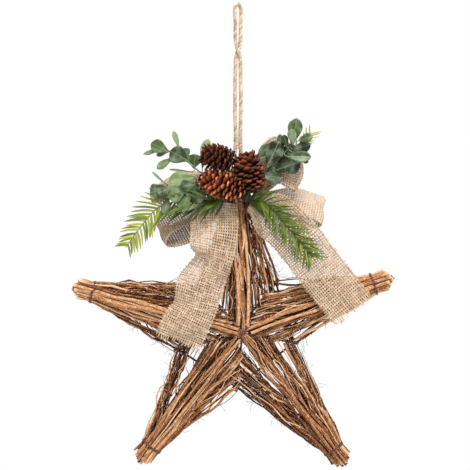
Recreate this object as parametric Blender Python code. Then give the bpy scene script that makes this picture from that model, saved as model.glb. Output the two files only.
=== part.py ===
"""Hanging twig star with a burlap bow, pine cones, leaves and fir sprigs.

Metres, +Z up, the front faces -Y and +X is to the viewer's right.
The origin is the inside top of the rope loop, where a hook carries the star.
"""

import math
import random

import bmesh
import bpy
from mathutils import Vector

# Fit between touching pieces
GAP = 0.0003

# Rope loop
ROPE_DIAMETER = 0.004
ROPE_DROP = 0.1725
ROPE_WRAP_PITCH = 0.009
ROPE_STEP = 2.1 * ROPE_DIAMETER

# Star outline: bearings in degrees, anticlockwise from +X, and shares of the mean reach
ARM_REACH = 0.178
ARMS = (
    ("right", 18.8, 0.972),
    ("top", 90.0, 0.983),
    ("left", 165.3, 1.017),
    ("lower_left", 233.2, 0.983),
    ("lower_right", 308.8, 1.028),
)
CORNER_REACH = 0.067
CORNERS = (
    ("upper_right", 51.5, 1.015),
    ("upper_left", 128.5, 1.000),
    ("lower_left", 197.7, 1.048),
    ("bottom", 268.0, 0.951),
    ("lower_right", 347.6, 0.964),
)
HUB_DEPTH = 0.038
HUB_OFFSET = Vector((0.0048, 0, -0.0016))

# Twig bundles
BUNDLE_WAIST = 0.023
BUNDLE_FLARE = 0.027
BUNDLE_END_HOLE = 0.003
TIE_INSET = 0.020
TIE_WIDTH = 0.0034
TIE_WIRE = 0.0012
SPLIT_INSET = 0.034
TWIGS_PER_FAN = 7
TWIG_WIDTH = 0.0052
TWIG_DEPTH = 0.0040
TWIG_FILL = 0.85
VALLEY_HALF_WIDTH = 0.0020
END_RAGGEDNESS = 0.004

# Wire frame inside the star
WIRE_DIAMETER = 0.003
SQUARE_WIRE = 0.85 * WIRE_DIAMETER
FRAME_SINK = 0.0085
FRAME_HUB_RADIUS = 0.005
CORNER_INSET = 0.003
LARGEST_MITRE = 40

# Bow
RIBBON_WIDTH = 0.050
RIBBON_THICKNESS = 0.0012
KNOT_BELOW_TIP = 0.0250
KNOT_WIDTH = 0.022
KNOT_HEIGHT = 0.022
KNOT_DEPTH = 0.012
LOOP_LENGTH = 0.088
LOOP_HEIGHT = 0.026
LOOP_PINCH = 0.24
LOOP_TILT = math.radians(34)
LOOP_STEPS = 22
TAIL_REACH = 0.100
TAIL_STAND_OFF = 0.004
TAIL_STEP = 0.009

# Cones
CONE_DIAMETER = 0.028
CONE_SIDES = 8
CONE_ROWS = 7
CONE_CORE = 0.74
CONE_SCALE_REACH = 0.30

# Leaves and needles
STEM_DIAMETER = 0.0018
LEAF_THICKNESS = 0.0009
STALK_FROM = 0.004
NEEDLE_PITCH = 0.0065
NEEDLE_LENGTH = 0.0225
NEEDLE_WIDTH = 0.0021
SPRAY_REACH = 0.100

# Places that follow from the sizes
TOP_REACH = ARM_REACH * dict((name, share) for name, bearing, share in ARMS)["top"]
STAR_CENTRE = Vector((0, 0, -(ROPE_DROP + TOP_REACH)))
TIE_OUTER_RADIUS = BUNDLE_WAIST / 2 + GAP + TIE_WIRE
KNOT_BACK = TIE_OUTER_RADIUS + 2 * GAP
KNOT_FRONT = KNOT_BACK + KNOT_DEPTH
KNOT = Vector((0, -(KNOT_BACK + KNOT_DEPTH / 2), -(ROPE_DROP + KNOT_BELOW_TIP)))


def bearing_vector(degrees):
    """A unit vector in the star's plane."""
    return Vector((math.cos(math.radians(degrees)), 0, math.sin(math.radians(degrees))))


def mix(a, b, share):
    return a + (b - a) * share


def smoothstep(x):
    x = min(1.0, max(0.0, x))
    return x * x * (3 - 2 * x)


def curve_through(points, step):
    """Points every step or so along a smooth curve through the given ones.

    The number of steps is even, so a symmetric route keeps its middle point.
    """
    points = [Vector(p) for p in points]
    padded = [2 * points[0] - points[1]] + points + [2 * points[-1] - points[-2]]
    fine = []
    for before, a, b, after in zip(padded, padded[1:], padded[2:], padded[3:]):
        for k in range(24):
            t = k / 24
            fine.append(
                0.5
                * (
                    2 * a
                    + (b - before) * t
                    + (2 * before - 5 * a + 4 * b - after) * t * t
                    + (3 * a - before - 3 * b + after) * t**3
                )
            )
    fine.append(points[-1])
    lengths = [0.0]
    for a, b in zip(fine, fine[1:]):
        lengths.append(lengths[-1] + (b - a).length)
    count = 2 * max(1, round(lengths[-1] / step / 2))
    result = []
    j = 0
    for k in range(count + 1):
        goal = lengths[-1] * k / count
        while j < len(fine) - 2 and lengths[j + 1] < goal:
            j += 1
        span = max(lengths[j + 1] - lengths[j], 1e-12)
        result.append(mix(fine[j], fine[j + 1], (goal - lengths[j]) / span))
    return result


def directions_along(path):
    """The unit direction of a path at each of its points."""
    result = []
    for k in range(len(path)):
        ahead = path[min(k + 1, len(path) - 1)]
        behind = path[max(k - 1, 0)]
        result.append((ahead - behind).normalized())
    return result


def add_ring(bm, points):
    return [bm.verts.new(p) for p in points]


def bridge(bm, first, second):
    """Walls between two rings of as many points. Returns the new faces."""
    count = len(first)
    return [
        bm.faces.new((first[k], first[(k + 1) % count], second[(k + 1) % count], second[k]))
        for k in range(count)
    ]


def loft(bm, rings):
    """A closed solid through rings of points. Returns its wall faces, row by row."""
    made = [add_ring(bm, ring) for ring in rings]
    walls = [bridge(bm, a, b) for a, b in zip(made, made[1:])]
    bm.faces.new(list(reversed(made[0])))
    bm.faces.new(made[-1])
    bmesh.ops.recalc_face_normals(bm, faces=bm.faces)
    return walls


def section(centre, side, up, width, depth):
    """Four corners of a flat cross-section."""
    return [
        centre - side * width / 2 - up * depth / 2,
        centre + side * width / 2 - up * depth / 2,
        centre + side * width / 2 + up * depth / 2,
        centre - side * width / 2 + up * depth / 2,
    ]


def round_section(centre, side, up, radius, sides):
    result = []
    for k in range(sides):
        angle = 2 * math.pi * (k + 0.5) / sides
        result.append(centre + side * radius * math.cos(angle) + up * radius * math.sin(angle))
    return result


def centre_of(points):
    return sum(points, Vector()) / len(points)


def turning(points):
    """The direction that a ring of points turns about, by the right hand."""
    centre = centre_of(points)
    pairs = zip(points, points[1:] + points[:1])
    return sum(((a - centre).cross(b - centre) for a, b in pairs), Vector())


def least_twisted(ring, corners):
    """The same ring, started at the point that leaves a wall from the corners the least twist."""
    centre = centre_of(ring)
    middle = centre_of(corners)
    return min(
        (ring[k:] + ring[:k] for k in range(len(ring))),
        key=lambda turned: sum(((p - centre) - (c - middle)).length for p, c in zip(turned, corners)),
    )


def grow(bm, face, rings):
    """Extrudes one face through rings of corners, and returns the face at the end."""
    for ring in rings:
        ring = list(ring)
        corners = [v.co.copy() for v in face.verts]
        ahead = centre_of(ring) - centre_of(corners)
        if turning(ring).dot(ahead) < 0:
            ring.reverse()
        face = bmesh.ops.extrude_discrete_faces(bm, faces=[face])["faces"][0]
        for vert, point in zip(face.verts, least_twisted(ring, corners)):
            vert.co = point
    return face


def finish_mesh(name, bm, material, smooth=False):
    """Turns a bmesh into a named object with outward faces."""
    bmesh.ops.recalc_face_normals(bm, faces=bm.faces)
    if bm.calc_volume(signed=True) < 0:
        bmesh.ops.reverse_faces(bm, faces=bm.faces)
    mesh = bpy.data.meshes.new(name)
    bm.to_mesh(mesh)
    bm.free()
    if smooth:
        mesh.shade_smooth()
        mesh.set_sharp_from_angle(angle=math.radians(50))
    mesh.materials.append(material)
    piece = bpy.data.objects.new(name, mesh)
    bpy.context.scene.collection.objects.link(piece)
    return piece


def finish_material(name, colour, roughness, metallic=0.0):
    material = bpy.data.materials.new(name)
    material.use_nodes = True
    shader = material.node_tree.nodes["Principled BSDF"]
    shader.inputs["Base Color"].default_value = (*colour, 1)
    shader.inputs["Roughness"].default_value = roughness
    shader.inputs["Metallic"].default_value = metallic
    return material


class ArmFrame:
    """Where one arm of the star ends, and the directions along and across it."""

    def __init__(self, index):
        self.name, self.bearing, share = ARMS[index]
        self.inward = -bearing_vector(self.bearing)
        self.across = bearing_vector(self.bearing + 90)
        self.end = STAR_CENTRE - self.inward * ARM_REACH * share
        self.corners = {1: CORNERS[index], -1: CORNERS[index - 1]}

    def at(self, inset):
        return self.end + self.inward * inset


def corner_point(corner, inset=0.0):
    """An inner corner of the star in its middle plane."""
    name, bearing, share = corner
    return STAR_CENTRE + bearing_vector(bearing) * (CORNER_REACH * share - inset)


def hub_point(face, depth):
    """The meeting point of the ridges, on the front or the back."""
    offset = HUB_OFFSET if face < 0 else Vector((0, 0, 0))
    return STAR_CENTRE + offset + Vector((0, face * depth, 0))


SPOKE_TIP_DEPTH = WIRE_DIAMETER / 2 + GAP / 2
SPOKE_CORNER_DEPTH = WIRE_DIAMETER + GAP
TWIG_CORNER_DEPTH = SPOKE_CORNER_DEPTH + WIRE_DIAMETER / 2 + TWIG_DEPTH / 2 + 3 * GAP


def spoke_depth_at(inset, arm):
    """How far the ridge wire is from the middle plane, at a distance from the arm's end."""
    length = (STAR_CENTRE - arm.end).length - TIE_INSET
    slope = (HUB_DEPTH - FRAME_SINK - SPOKE_TIP_DEPTH) / length
    return SPOKE_TIP_DEPTH + slope * max(0.0, inset - TIE_INSET)


def ridge_depth_at(inset, arm):
    length = (STAR_CENTRE - arm.end).length - TIE_INSET
    slope = (HUB_DEPTH - BUNDLE_WAIST / 2) / length
    return BUNDLE_WAIST / 2 + slope * max(0.0, inset - TIE_INSET)


def twig_fan(index, side, face, material):
    """A quarter of an arm's sheaf: one bundle at the tip that splits into twigs.

    The twigs end along the valley from the hub to the inner corner.
    side is 1 anticlockwise of the arm and -1 clockwise; face is -1 in front and 1 behind.
    """
    arm = ArmFrame(index)
    rng = random.Random(100 * index + 10 * side + face)
    across = arm.across * side
    outward = Vector((0, face, 0))
    waist = BUNDLE_WAIST / 2
    wire_hole = SPOKE_TIP_DEPTH + WIRE_DIAMETER / 2 + 2 * GAP
    half_tie = TIE_WIDTH / 2 + GAP
    split_hole = spoke_depth_at(SPLIT_INSET, arm) + WIRE_DIAMETER / 2 + 3 * GAP
    rows = (
        (0.0, BUNDLE_FLARE / 2, BUNDLE_END_HOLE / 2, END_RAGGEDNESS),
        (TIE_INSET - half_tie, waist, wire_hole, 0.0),
        (TIE_INSET + half_tie, waist, wire_hole + GAP, 0.0),
        (SPLIT_INSET, ridge_depth_at(SPLIT_INSET, arm), split_hole, 0.0),
    )
    bm = bmesh.new()
    outer = []
    inner = []
    for inset, outer_radius, inner_radius, ragged in rows:
        outer_row = []
        inner_row = []
        for k in range(TWIGS_PER_FAN + 1):
            angle = math.radians(90) * k / TWIGS_PER_FAN
            spread = outward * math.cos(angle) + across * math.sin(angle)
            centre = arm.at(inset + rng.uniform(0, ragged)) + (outward + across) * GAP / 2
            outer_row.append(bm.verts.new(centre + spread * outer_radius))
            inner_row.append(bm.verts.new(centre + spread * inner_radius))
        outer.append(outer_row)
        inner.append(inner_row)
    columns = range(TWIGS_PER_FAN)
    for row in range(len(rows) - 1):
        for wall in (outer, inner):
            for k in columns:
                bm.faces.new((wall[row][k], wall[row][k + 1], wall[row + 1][k + 1], wall[row + 1][k]))
        for k in (0, TWIGS_PER_FAN):
            bm.faces.new((outer[row][k], inner[row][k], inner[row + 1][k], outer[row + 1][k]))
    for k in columns:
        bm.faces.new((outer[0][k], outer[0][k + 1], inner[0][k + 1], inner[0][k]))
    hub = hub_point(face, HUB_DEPTH - TWIG_DEPTH / 2)
    corner = corner_point(arm.corners[side]) + outward * TWIG_CORNER_DEPTH
    valley = (corner - hub).normalized()
    ridge = (hub - arm.at(TIE_INSET)).normalized()
    ridge_sine = math.sqrt(1 - ridge.dot(valley) ** 2)
    first = (TWIG_WIDTH / 2 + TWIG_DEPTH / 4 + VALLEY_HALF_WIDTH + GAP) / ridge_sine
    last = (corner - hub).length - TWIG_WIDTH / 2 - VALLEY_HALF_WIDTH
    spacing = (last - first) / (TWIGS_PER_FAN - 1)
    for k in columns:
        base = [outer[-1][k], outer[-1][k + 1], inner[-1][k + 1], inner[-1][k]]
        start = centre_of([v.co for v in base])
        goal = hub + valley * (first + spacing * k)
        along = (goal - start).normalized()
        normal = along.cross(valley).normalized()
        if normal.dot(outward) < 0:
            normal = -normal
        back = normal.cross(valley).normalized()
        if back.dot(along) > 0:
            back = -back
        goal = goal + back * VALLEY_HALF_WIDTH
        half = min(TWIG_WIDTH / math.sqrt(1 - along.dot(valley) ** 2), TWIG_FILL * spacing) / 2
        lift = normal * TWIG_DEPTH / 2
        ring = [
            goal - valley * half + lift,
            goal + valley * half + lift,
            goal + valley * half - lift,
            goal - valley * half - lift,
        ]
        end = add_ring(bm, ring)
        for j, through_inner in enumerate((False, True, False, False)):
            a, b, c, d = base[j], base[(j + 1) % 4], end[(j + 1) % 4], end[j]
            for corners in ((a, b, c), (a, c, d)) if through_inner else ((a, b, d), (b, c, d)):
                bm.faces.new(corners)
        bm.faces.new(end)
    row_name = "front" if face < 0 else "back"
    side_name = "a" if side > 0 else "b"
    finish_mesh(f"twigs_{arm.name}_{row_name}_{side_name}", bm, material)


def tip_tie(index, material):
    """The band of tie wire wound round a bundle near its end."""
    arm = ArmFrame(index)
    sides = 12
    inner = (BUNDLE_WAIST / 2 + GAP) / math.cos(math.pi / sides) + GAP
    outer = inner + TIE_WIRE
    bm = bmesh.new()
    rings = []
    for radius, shift in ((inner, -0.5), (outer, -0.5), (outer, 0.5), (inner, 0.5)):
        centre = arm.at(TIE_INSET + shift * TIE_WIDTH)
        rings.append(add_ring(bm, round_section(centre, arm.across, Vector((0, 1, 0)), radius, sides)))
    for k in range(4):
        bridge(bm, rings[k], rings[(k + 1) % 4])
    finish_mesh(f"tie_{arm.name}", bm, material, smooth=True)


def frame_spokes(face, material):
    """The welded ridge and valley wires of one face, round a small hub disc."""
    depth = HUB_DEPTH - FRAME_SINK
    hub = hub_point(face, depth)
    outward = Vector((0, face, 0))
    goals = []
    for index in range(len(ARMS)):
        arm = ArmFrame(index)
        goals.append(arm.at(TIE_INSET) + outward * SPOKE_TIP_DEPTH)
        goals.append(corner_point(arm.corners[1], CORNER_INSET) + outward * SPOKE_CORNER_DEPTH)
    bearings = [math.atan2(g.z - hub.z, g.x - hub.x) for g in goals]
    order = sorted(range(len(goals)), key=lambda k: bearings[k])
    count = len(order)
    rim = []
    for k in range(count):
        here = bearings[order[k]]
        after = bearings[order[(k + 1) % count]]
        if after < here:
            after += 2 * math.pi
        rim.append(math.degrees((here + after) / 2))
    bm = bmesh.new()
    half = outward * WIRE_DIAMETER / 2
    rings = [
        [hub + shift + bearing_vector(b) * FRAME_HUB_RADIUS for b in rim] for shift in (-half, half)
    ]
    sides = loft(bm, rings)[0]
    for k in range(count):
        goal = goals[order[(k + 1) % count]]
        wall = sides[k]
        start = wall.calc_center_median()
        along = (goal - start).normalized()
        across = along.cross(outward).normalized()
        up = across.cross(along)
        grow(
            bm,
            wall,
            [
                section(start + along * 2 * WIRE_DIAMETER, across, up, SQUARE_WIRE, SQUARE_WIRE),
                section(goal, across, up, SQUARE_WIRE, SQUARE_WIRE),
            ],
        )
    finish_mesh("frame_front" if face < 0 else "frame_back", bm, material)


def frame_link(index, material):
    """One wire of the pentagon that joins the inner corners in the middle plane."""
    start = corner_point(CORNERS[index - 1], CORNER_INSET)
    end = corner_point(CORNERS[index], CORNER_INSET)
    along = (end - start).normalized()
    mitre = WIRE_DIAMETER / 2 * math.tan(math.radians(LARGEST_MITRE)) + GAP
    forward = Vector((0, 1, 0))
    bm = bmesh.new()
    loft(
        bm,
        [
            round_section(point, along.cross(forward), forward, WIRE_DIAMETER / 2, 6)
            for point in (start + along * mitre, end - along * mitre)
        ],
    )
    finish_mesh(f"frame_link_{ARMS[index][0]}", bm, material, smooth=True)


def hub_tie(face, material):
    """The knot of tie wire over the hub, with an end lying in each valley."""
    outward = Vector((0, face, 0))
    hub = hub_point(face, HUB_DEPTH)
    base = hub_point(face, HUB_DEPTH - FRAME_SINK + WIRE_DIAMETER / 2 + GAP)
    bearings = []
    for name, bearing, share in CORNERS:
        goal = corner_point((name, bearing, share))
        bearings.append(math.degrees(math.atan2(goal.z - hub.z, goal.x - hub.x)) % 360)
    bearings.sort()
    count = len(bearings)
    rim = []
    for k in range(count):
        after = bearings[(k + 1) % count]
        if after < bearings[k]:
            after += 360
        rim.append((bearings[k] + after) / 2)
    radius = 1.9 * TIE_WIRE
    bm = bmesh.new()
    rings = [
        [centre + bearing_vector(b) * radius * share for b in rim]
        for centre, share in (
            (base, 0.8),
            (hub - outward * 2 * TIE_WIRE, 1.0),
            (hub, 1.0),
            (hub + outward * TIE_WIRE, 0.5),
        )
    ]
    walls = loft(bm, rings)[1]
    depth_drop = (HUB_DEPTH - TWIG_CORNER_DEPTH) / CORNER_REACH
    for k in range(count):
        bearing = bearing_vector(bearings[(k + 1) % count])
        along = (bearing - outward * depth_drop).normalized()
        across = along.cross(outward).normalized()
        up = across.cross(along)
        start = walls[k].calc_center_median()
        grow(bm, walls[k], [section(start + along * 7 * TIE_WIRE, across, up, TIE_WIRE, TIE_WIRE)])
    finish_mesh("tie_hub_front" if face < 0 else "tie_hub_back", bm, material)


def corner_tie(corner, material):
    """A turn of tie wire round the outside of an inner corner."""
    centre = corner_point(corner, CORNER_INSET)
    outward = bearing_vector(corner[1])
    across = bearing_vector(corner[1] + 90)
    radius = SPOKE_CORNER_DEPTH + WIRE_DIAMETER / 2 + 2 * GAP + TIE_WIRE
    bm = bmesh.new()
    rings = []
    steps = 6
    for k in range(steps + 1):
        angle = math.radians(mix(-88, 88, k / steps))
        spread = outward * math.cos(angle) + Vector((0, 1, 0)) * math.sin(angle)
        rings.append(section(centre + spread * radius, across, spread, TIE_WIRE, TIE_WIRE))
    loft(bm, rings)
    finish_mesh(f"tie_corner_{corner[0]}", bm, material)


def rope_route():
    """Two legs of one rope: round the neck, up, over the hook and down again.

    The points run from one tucked end to the other, in metres from the loop's inside top.
    """
    chord_sag = ROPE_STEP**2 / (4 * BUNDLE_FLARE)
    wrap_radius = (BUNDLE_FLARE + ROPE_DIAMETER) / 2 + chord_sag + GAP
    wrap_top = -(ROPE_DROP + ROPE_DIAMETER / 2)
    leg = []
    for degrees in range(240, -1, -30):
        angle = math.radians(-degrees)
        drop = ROPE_WRAP_PITCH * degrees / 360
        leg.append((wrap_radius * math.cos(angle), wrap_radius * math.sin(angle), wrap_top - drop))
    leg.append((wrap_radius - 0.0012, 0.0015, -(ROPE_DROP - 0.0030)))
    leg.append((0.0100, 0.0020, -(ROPE_DROP - 0.0090)))
    leg.append((0.0040, 0.0010, -(ROPE_DROP - 0.0145)))
    turns = (
        (-0.152, 0.0023, 300),
        (-0.146, 0.0023, 240),
        (-0.140, 0.0023, 190),
        (-0.133, 0.0025, 180),
        (-0.115, 0.0027, 180),
        (-0.090, 0.0027, 180),
        (-0.068, 0.0027, 180),
        (-0.056, 0.0025, 160),
        (-0.050, 0.0024, 110),
        (-0.045, 0.0024, 60),
        (-0.038, 0.0027, 20),
        (-0.028, 0.0040, 45),
        (-0.018, 0.0068, 65),
        (-0.008, 0.0097, 70),
        (-0.0015, 0.0078, 70),
    )
    for z, radius, degrees in turns:
        angle = math.radians(degrees)
        leg.append((radius * math.cos(angle), radius * math.sin(angle), z))
    other = [(-x, -y, z) for x, y, z in reversed(leg)]
    return leg + [(0, 0, ROPE_DIAMETER / 2)] + other


def rope(material):
    path = curve_through(rope_route(), ROPE_STEP)
    curve = bpy.data.curves.new("hanging_rope", "CURVE")
    curve.dimensions = "3D"
    curve.bevel_depth = ROPE_DIAMETER / 2
    curve.bevel_resolution = 1
    curve.use_fill_caps = True
    spline = curve.splines.new("POLY")
    spline.points.add(len(path) - 1)
    for point, place in zip(spline.points, path):
        point.co = (*place, 1)
    curve.materials.append(material)
    piece = bpy.data.objects.new("hanging_rope", curve)
    bpy.context.scene.collection.objects.link(piece)


def ribbon_strip(name, stations, material):
    """A thin flat strip. Each station is its centre, its direction across and its width."""
    path = [s[0] for s in stations]
    rings = []
    for (centre, across, width), along in zip(stations, directions_along(path)):
        up = across.cross(along).normalized()
        rings.append(section(centre, across, up, width, RIBBON_THICKNESS))
    bm = bmesh.new()
    loft(bm, rings)
    finish_mesh(name, bm, material, smooth=True)


def bow_loop(name, start, out, across, length, height, arch, near_depth, material, square=1.0):
    """A ribbon loop: out from the knot, round its end and back, pinched at the knot.

    arch lifts its middle, and near_depth is how far in front of the middle plane its near edge lies. Its end is
    square to its run where square is 1, and along across where square is 0, with the weave drawn askew.
    """
    out = Vector(out).normalized()
    across = Vector(across).normalized()
    across = (across - out * across.dot(out) * square).normalized()
    lift = out.cross(across).normalized()
    stations = []
    first = 0.035
    for k in range(LOOP_STEPS + 1):
        turn = math.pi * mix(first, 1 - first, k / LOOP_STEPS)
        reach = math.sin(turn)
        offset = height / 2 * math.sin(2 * turn)
        spread = smoothstep(reach / 0.65)
        width = RIBBON_WIDTH * mix(LOOP_PINCH, 1.0, spread)
        centre = Vector(start) + out * length * reach + lift * offset
        centre.z += arch * math.sin(math.pi * reach) ** 2
        wide_y = (abs(across.y) * RIBBON_WIDTH + abs(lift.y) * height) / 2 - near_depth
        centre.y = mix(start[1], wide_y, spread) + lift.y * offset
        stations.append((centre, across, width))
    ribbon_strip(name, stations, material)


def bow_tail(name, points, first_width, material):
    """A ribbon end that hangs from the knot over the star.

    Points are X, the drop below the knot and the depth in front of it, in hundredths of the tails' reach.
    """
    top = KNOT.z - KNOT_HEIGHT / 2 - 2 * GAP
    front = KNOT_FRONT + TAIL_STAND_OFF
    route = []
    for point in points:
        x, drop, depth = (value * TAIL_REACH / 100 for value in point)
        route.append(Vector((x, -(front + depth), top - drop)))
    path = curve_through(route, TAIL_STEP)
    stations = []
    for k, (centre, along) in enumerate(zip(path, directions_along(path))):
        across = along.cross(Vector((0, 1, 0))).normalized()
        width = RIBBON_WIDTH * mix(first_width, 1.0, smoothstep(k / 3))
        stations.append((centre, across, width))
    ribbon_strip(name, stations, material)


def bow_knot(material):
    """The gathered middle of the bow, a plain faceted lump."""
    bm = bmesh.new()
    rings = []
    for share, girth in ((-0.5, 0.55), (-0.25, 0.95), (0.25, 0.95), (0.5, 0.55)):
        centre = KNOT + Vector((0, 0, KNOT_HEIGHT * share))
        ring = []
        for k in range(8):
            angle = math.radians(45 * k + 22.5)
            squash = 1 / math.cos(math.radians(22.5))
            x = KNOT_WIDTH / 2 * girth * math.cos(angle) * squash
            y = KNOT_DEPTH / 2 * girth * math.sin(angle) * squash
            ring.append(centre + Vector((x, y, 0)))
        rings.append(ring)
    loft(bm, rings)
    finish_mesh("bow_knot", bm, material, smooth=True)


def pine_cone(name, base, tip, diameter, material):
    """A closed core whose every other face is drawn out into a scale."""
    base = Vector(base)
    tip = Vector(tip)
    along = (tip - base).normalized()
    across = along.cross(Vector((0, 1, 0))).normalized()
    up = across.cross(along)
    length = (tip - base).length
    radius = diameter / 2
    bm = bmesh.new()
    rings = []
    for row in range(CONE_ROWS):
        share = mix(0.04, 0.94, row / (CONE_ROWS - 1))
        core = radius * CONE_CORE * (0.30 + 0.70 * math.sin(math.pi * (0.10 + 0.78 * share)) ** 0.8)
        twist = 0.5 * row
        ring = []
        for k in range(CONE_SIDES):
            angle = 2 * math.pi * (k + twist) / CONE_SIDES
            spread = across * math.cos(angle) + up * math.sin(angle)
            ring.append(base + along * length * share + spread * core)
        rings.append(ring)
    walls = loft(bm, rings)
    for row, faces in enumerate(walls):
        for k, face in enumerate(faces):
            if (row + k) % 2:
                continue
            centre = face.calc_center_median()
            axis_point = base + along * (centre - base).dot(along)
            out = (centre - axis_point).normalized()
            reach = (centre - axis_point).length * CONE_SCALE_REACH
            face_corners = [v.co.copy() for v in face.verts]
            ring = [
                centre + (c - centre) * 0.62 + out * reach + along * length * 0.035 for c in face_corners
            ]
            grow(bm, face, [ring])
    finish_mesh(name, bm, material)


def misfit(face, base, along):
    """Small for a near face that looks towards a blade's base, or along the blade if it is close."""
    reach = base - face.calc_center_median()
    heading = reach.normalized() if reach.length > STALK_FROM else along
    return reach.length - 2 * STALK_FROM * face.normal.dot(heading)


def stem_with(name, route, blades, material, step=0.006, thin_end=0.6):
    """A stem with flat blades fused to it.

    Each blade is its base, its tip, its width and the share of its length where it is widest.
    """
    path = curve_through(route, step)
    directions = directions_along(path)
    rings = []
    for k, (centre, along) in enumerate(zip(path, directions)):
        side = along.cross(Vector((0, -1, 0))).normalized()
        up = side.cross(along).normalized()
        width = STEM_DIAMETER * mix(1.0, thin_end, k / (len(path) - 1))
        rings.append(section(centre, side, up, width, width))
    bm = bmesh.new()
    free = [face for row in loft(bm, rings) for face in row]
    for base, tip, width, widest in blades:
        base = Vector(base)
        tip = Vector(tip)
        along = (tip - base).normalized()
        side = along.cross(Vector((0, -1, 0))).normalized()
        up = side.cross(along).normalized()
        face = min(free, key=lambda f: misfit(f, base, along))
        free.remove(face)
        rings = []
        start = face.calc_center_median()
        if (base - start).length > STALK_FROM:
            stalk = (base - start).normalized()
            halfway = (stalk + along).normalized()
            stalk_side = halfway.cross(Vector((0, -1, 0))).normalized()
            stalk_up = stalk_side.cross(halfway).normalized()
            rings.append(section(base, stalk_side, stalk_up, LEAF_THICKNESS * 1.4, LEAF_THICKNESS))
        else:
            base = start
        if widest is None:
            rings.append(section(tip, side, up, width * 0.4, LEAF_THICKNESS * 0.7))
        else:
            rings.append(section(mix(base, tip, widest * 0.5), side, up, width * 0.78, LEAF_THICKNESS))
            rings.append(section(mix(base, tip, min(0.8, widest * 1.15)), side, up, width, LEAF_THICKNESS))
            rings.append(section(tip, side, up, width * 0.22, LEAF_THICKNESS))
        grow(bm, face, rings)
    bm.normal_update()
    finish_mesh(name, bm, material)


def place(x, z, depth):
    """A point right of and above the knot's middle and in front of its front, in hundredths of the reach."""
    x, z, depth = (value * SPRAY_REACH / 100 for value in (x, z, depth))
    return Vector((KNOT.x + x, -(KNOT_FRONT + depth), KNOT.z + z))


def needle_sprig(name, route, first, last, length_at, spread, forward, material):
    """A stem with pairs of needles between two shares of its length."""
    path = curve_through(route, NEEDLE_PITCH)
    directions = directions_along(path)
    blades = []
    for k in range(1, len(path) - 1):
        share = k / (len(path) - 1)
        if not first <= share <= last:
            continue
        along = directions[k]
        side = along.cross(Vector((0, -1, 0))).normalized()
        for sign in (-1, 1):
            lean = math.radians(spread)
            needle = along * math.cos(lean) + side * sign * math.sin(lean)
            needle = (needle + Vector((0, -forward, 0))).normalized()
            middle = mix(path[k], path[k + 1], 0.5)
            blades.append((middle, middle + needle * NEEDLE_LENGTH * length_at(share), NEEDLE_WIDTH, None))
    stem_with(name, route, blades, material, step=NEEDLE_PITCH, thin_end=0.5)


def build():
    for piece in list(bpy.data.objects):
        bpy.data.objects.remove(piece)
    twig = finish_material("twig bark", (0.32, 0.15, 0.055), 0.75)
    wire = finish_material("black painted wire", (0.012, 0.012, 0.014), 0.45)
    tie = finish_material("tie wire", (0.06, 0.03, 0.025), 0.4, 0.7)
    jute = finish_material("jute rope", (0.58, 0.43, 0.27), 0.9)
    burlap = finish_material("burlap", (0.52, 0.37, 0.22), 0.9)
    scale = finish_material("cone scale", (0.20, 0.05, 0.015), 0.5)
    leaf = finish_material("leaf", (0.10, 0.22, 0.10), 0.45)
    needle = finish_material("needle", (0.13, 0.34, 0.03), 0.4)

    for index in range(len(ARMS)):
        frame_link(index, wire)
    for face in (-1, 1):
        frame_spokes(face, wire)
        hub_tie(face, tie)
    for index in range(len(ARMS)):
        for side in (1, -1):
            for face in (-1, 1):
                twig_fan(index, side, face, twig)
        tip_tie(index, tie)
    for corner in CORNERS:
        corner_tie(corner, tie)
    rope(jute)

    bow_knot(burlap)
    near_edge = KNOT_FRONT - RIBBON_THICKNESS - GAP - STEM_DIAMETER / 2
    loop_root = Vector((KNOT_WIDTH / 4, KNOT.y + 0.0015, KNOT.z))
    left = Vector((-loop_root.x, loop_root.y, loop_root.z))
    right = loop_root
    over = Vector((0, math.cos(LOOP_TILT), math.sin(LOOP_TILT)))
    upright = Vector((-0.07, 0, 1))
    nearly_level = Vector((0, math.cos(0.5 * LOOP_TILT), math.sin(0.5 * LOOP_TILT)))
    bow_loop("bow_loop_left_upper", left + Vector((0, 0, 0.001)), (-1, 0, -0.07), nearly_level,
             LOOP_LENGTH, 0.38 * LOOP_HEIGHT, 0.013, near_edge, burlap)
    bow_loop("bow_loop_left_lower", left + Vector((0, 0, -0.006)), (-1, 0, -0.55), over,
             LOOP_LENGTH, 0.78 * LOOP_HEIGHT, 0.0, near_edge, burlap)
    bow_loop("bow_loop_right_lower", right + Vector((0, 0, -0.006)), (1, 0, -0.21), over,
             LOOP_LENGTH, 0.60 * LOOP_HEIGHT, 0.0, near_edge, burlap)
    bow_loop("bow_loop_right_upper", right + Vector((0.005, 0, 0.006)), (1, 0, 0.36), upright,
             0.70 * LOOP_LENGTH, 0.7 * LOOP_HEIGHT, 0.015, near_edge, burlap, square=0.0)

    bow_tail(
        "bow_tail_left",
        [(-23.5, 1.2, -4), (-24.5, 15, -2), (-25, 34, 2), (-29, 56, 7), (-36, 77, 0), (-42, 96, 6),
         (-48, 115, 10), (-56, 132, 10), (-62, 146, 8)],
        0.92, burlap)
    bow_tail(
        "bow_tail_right",
        [(14, 1.2, -4), (26, 8, -2), (44, 22, 0), (64, 42, 0), (75, 57, 1), (86, 72, 3), (97, 86, 0),
         (107, 98, 0), (119, 113, 2)],
        0.45, burlap)
    build_cones(scale)
    build_leaves(leaf)
    build_sprigs(needle)


def build_cones(material):
    reach = CONE_DIAMETER / 2 / SPRAY_REACH * 100
    pine_cone("cone_dark", place(-1, 28, reach), place(-41, 38, reach - 2), 0.92 * CONE_DIAMETER, material)
    pine_cone("cone_front", place(6, -1, reach + 3), place(-43, 14, reach + 3), 0.96 * CONE_DIAMETER,
              material)
    pine_cone("cone_right", place(20, -1, reach + 3), place(9, 41, reach + 3), CONE_DIAMETER, material)


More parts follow.
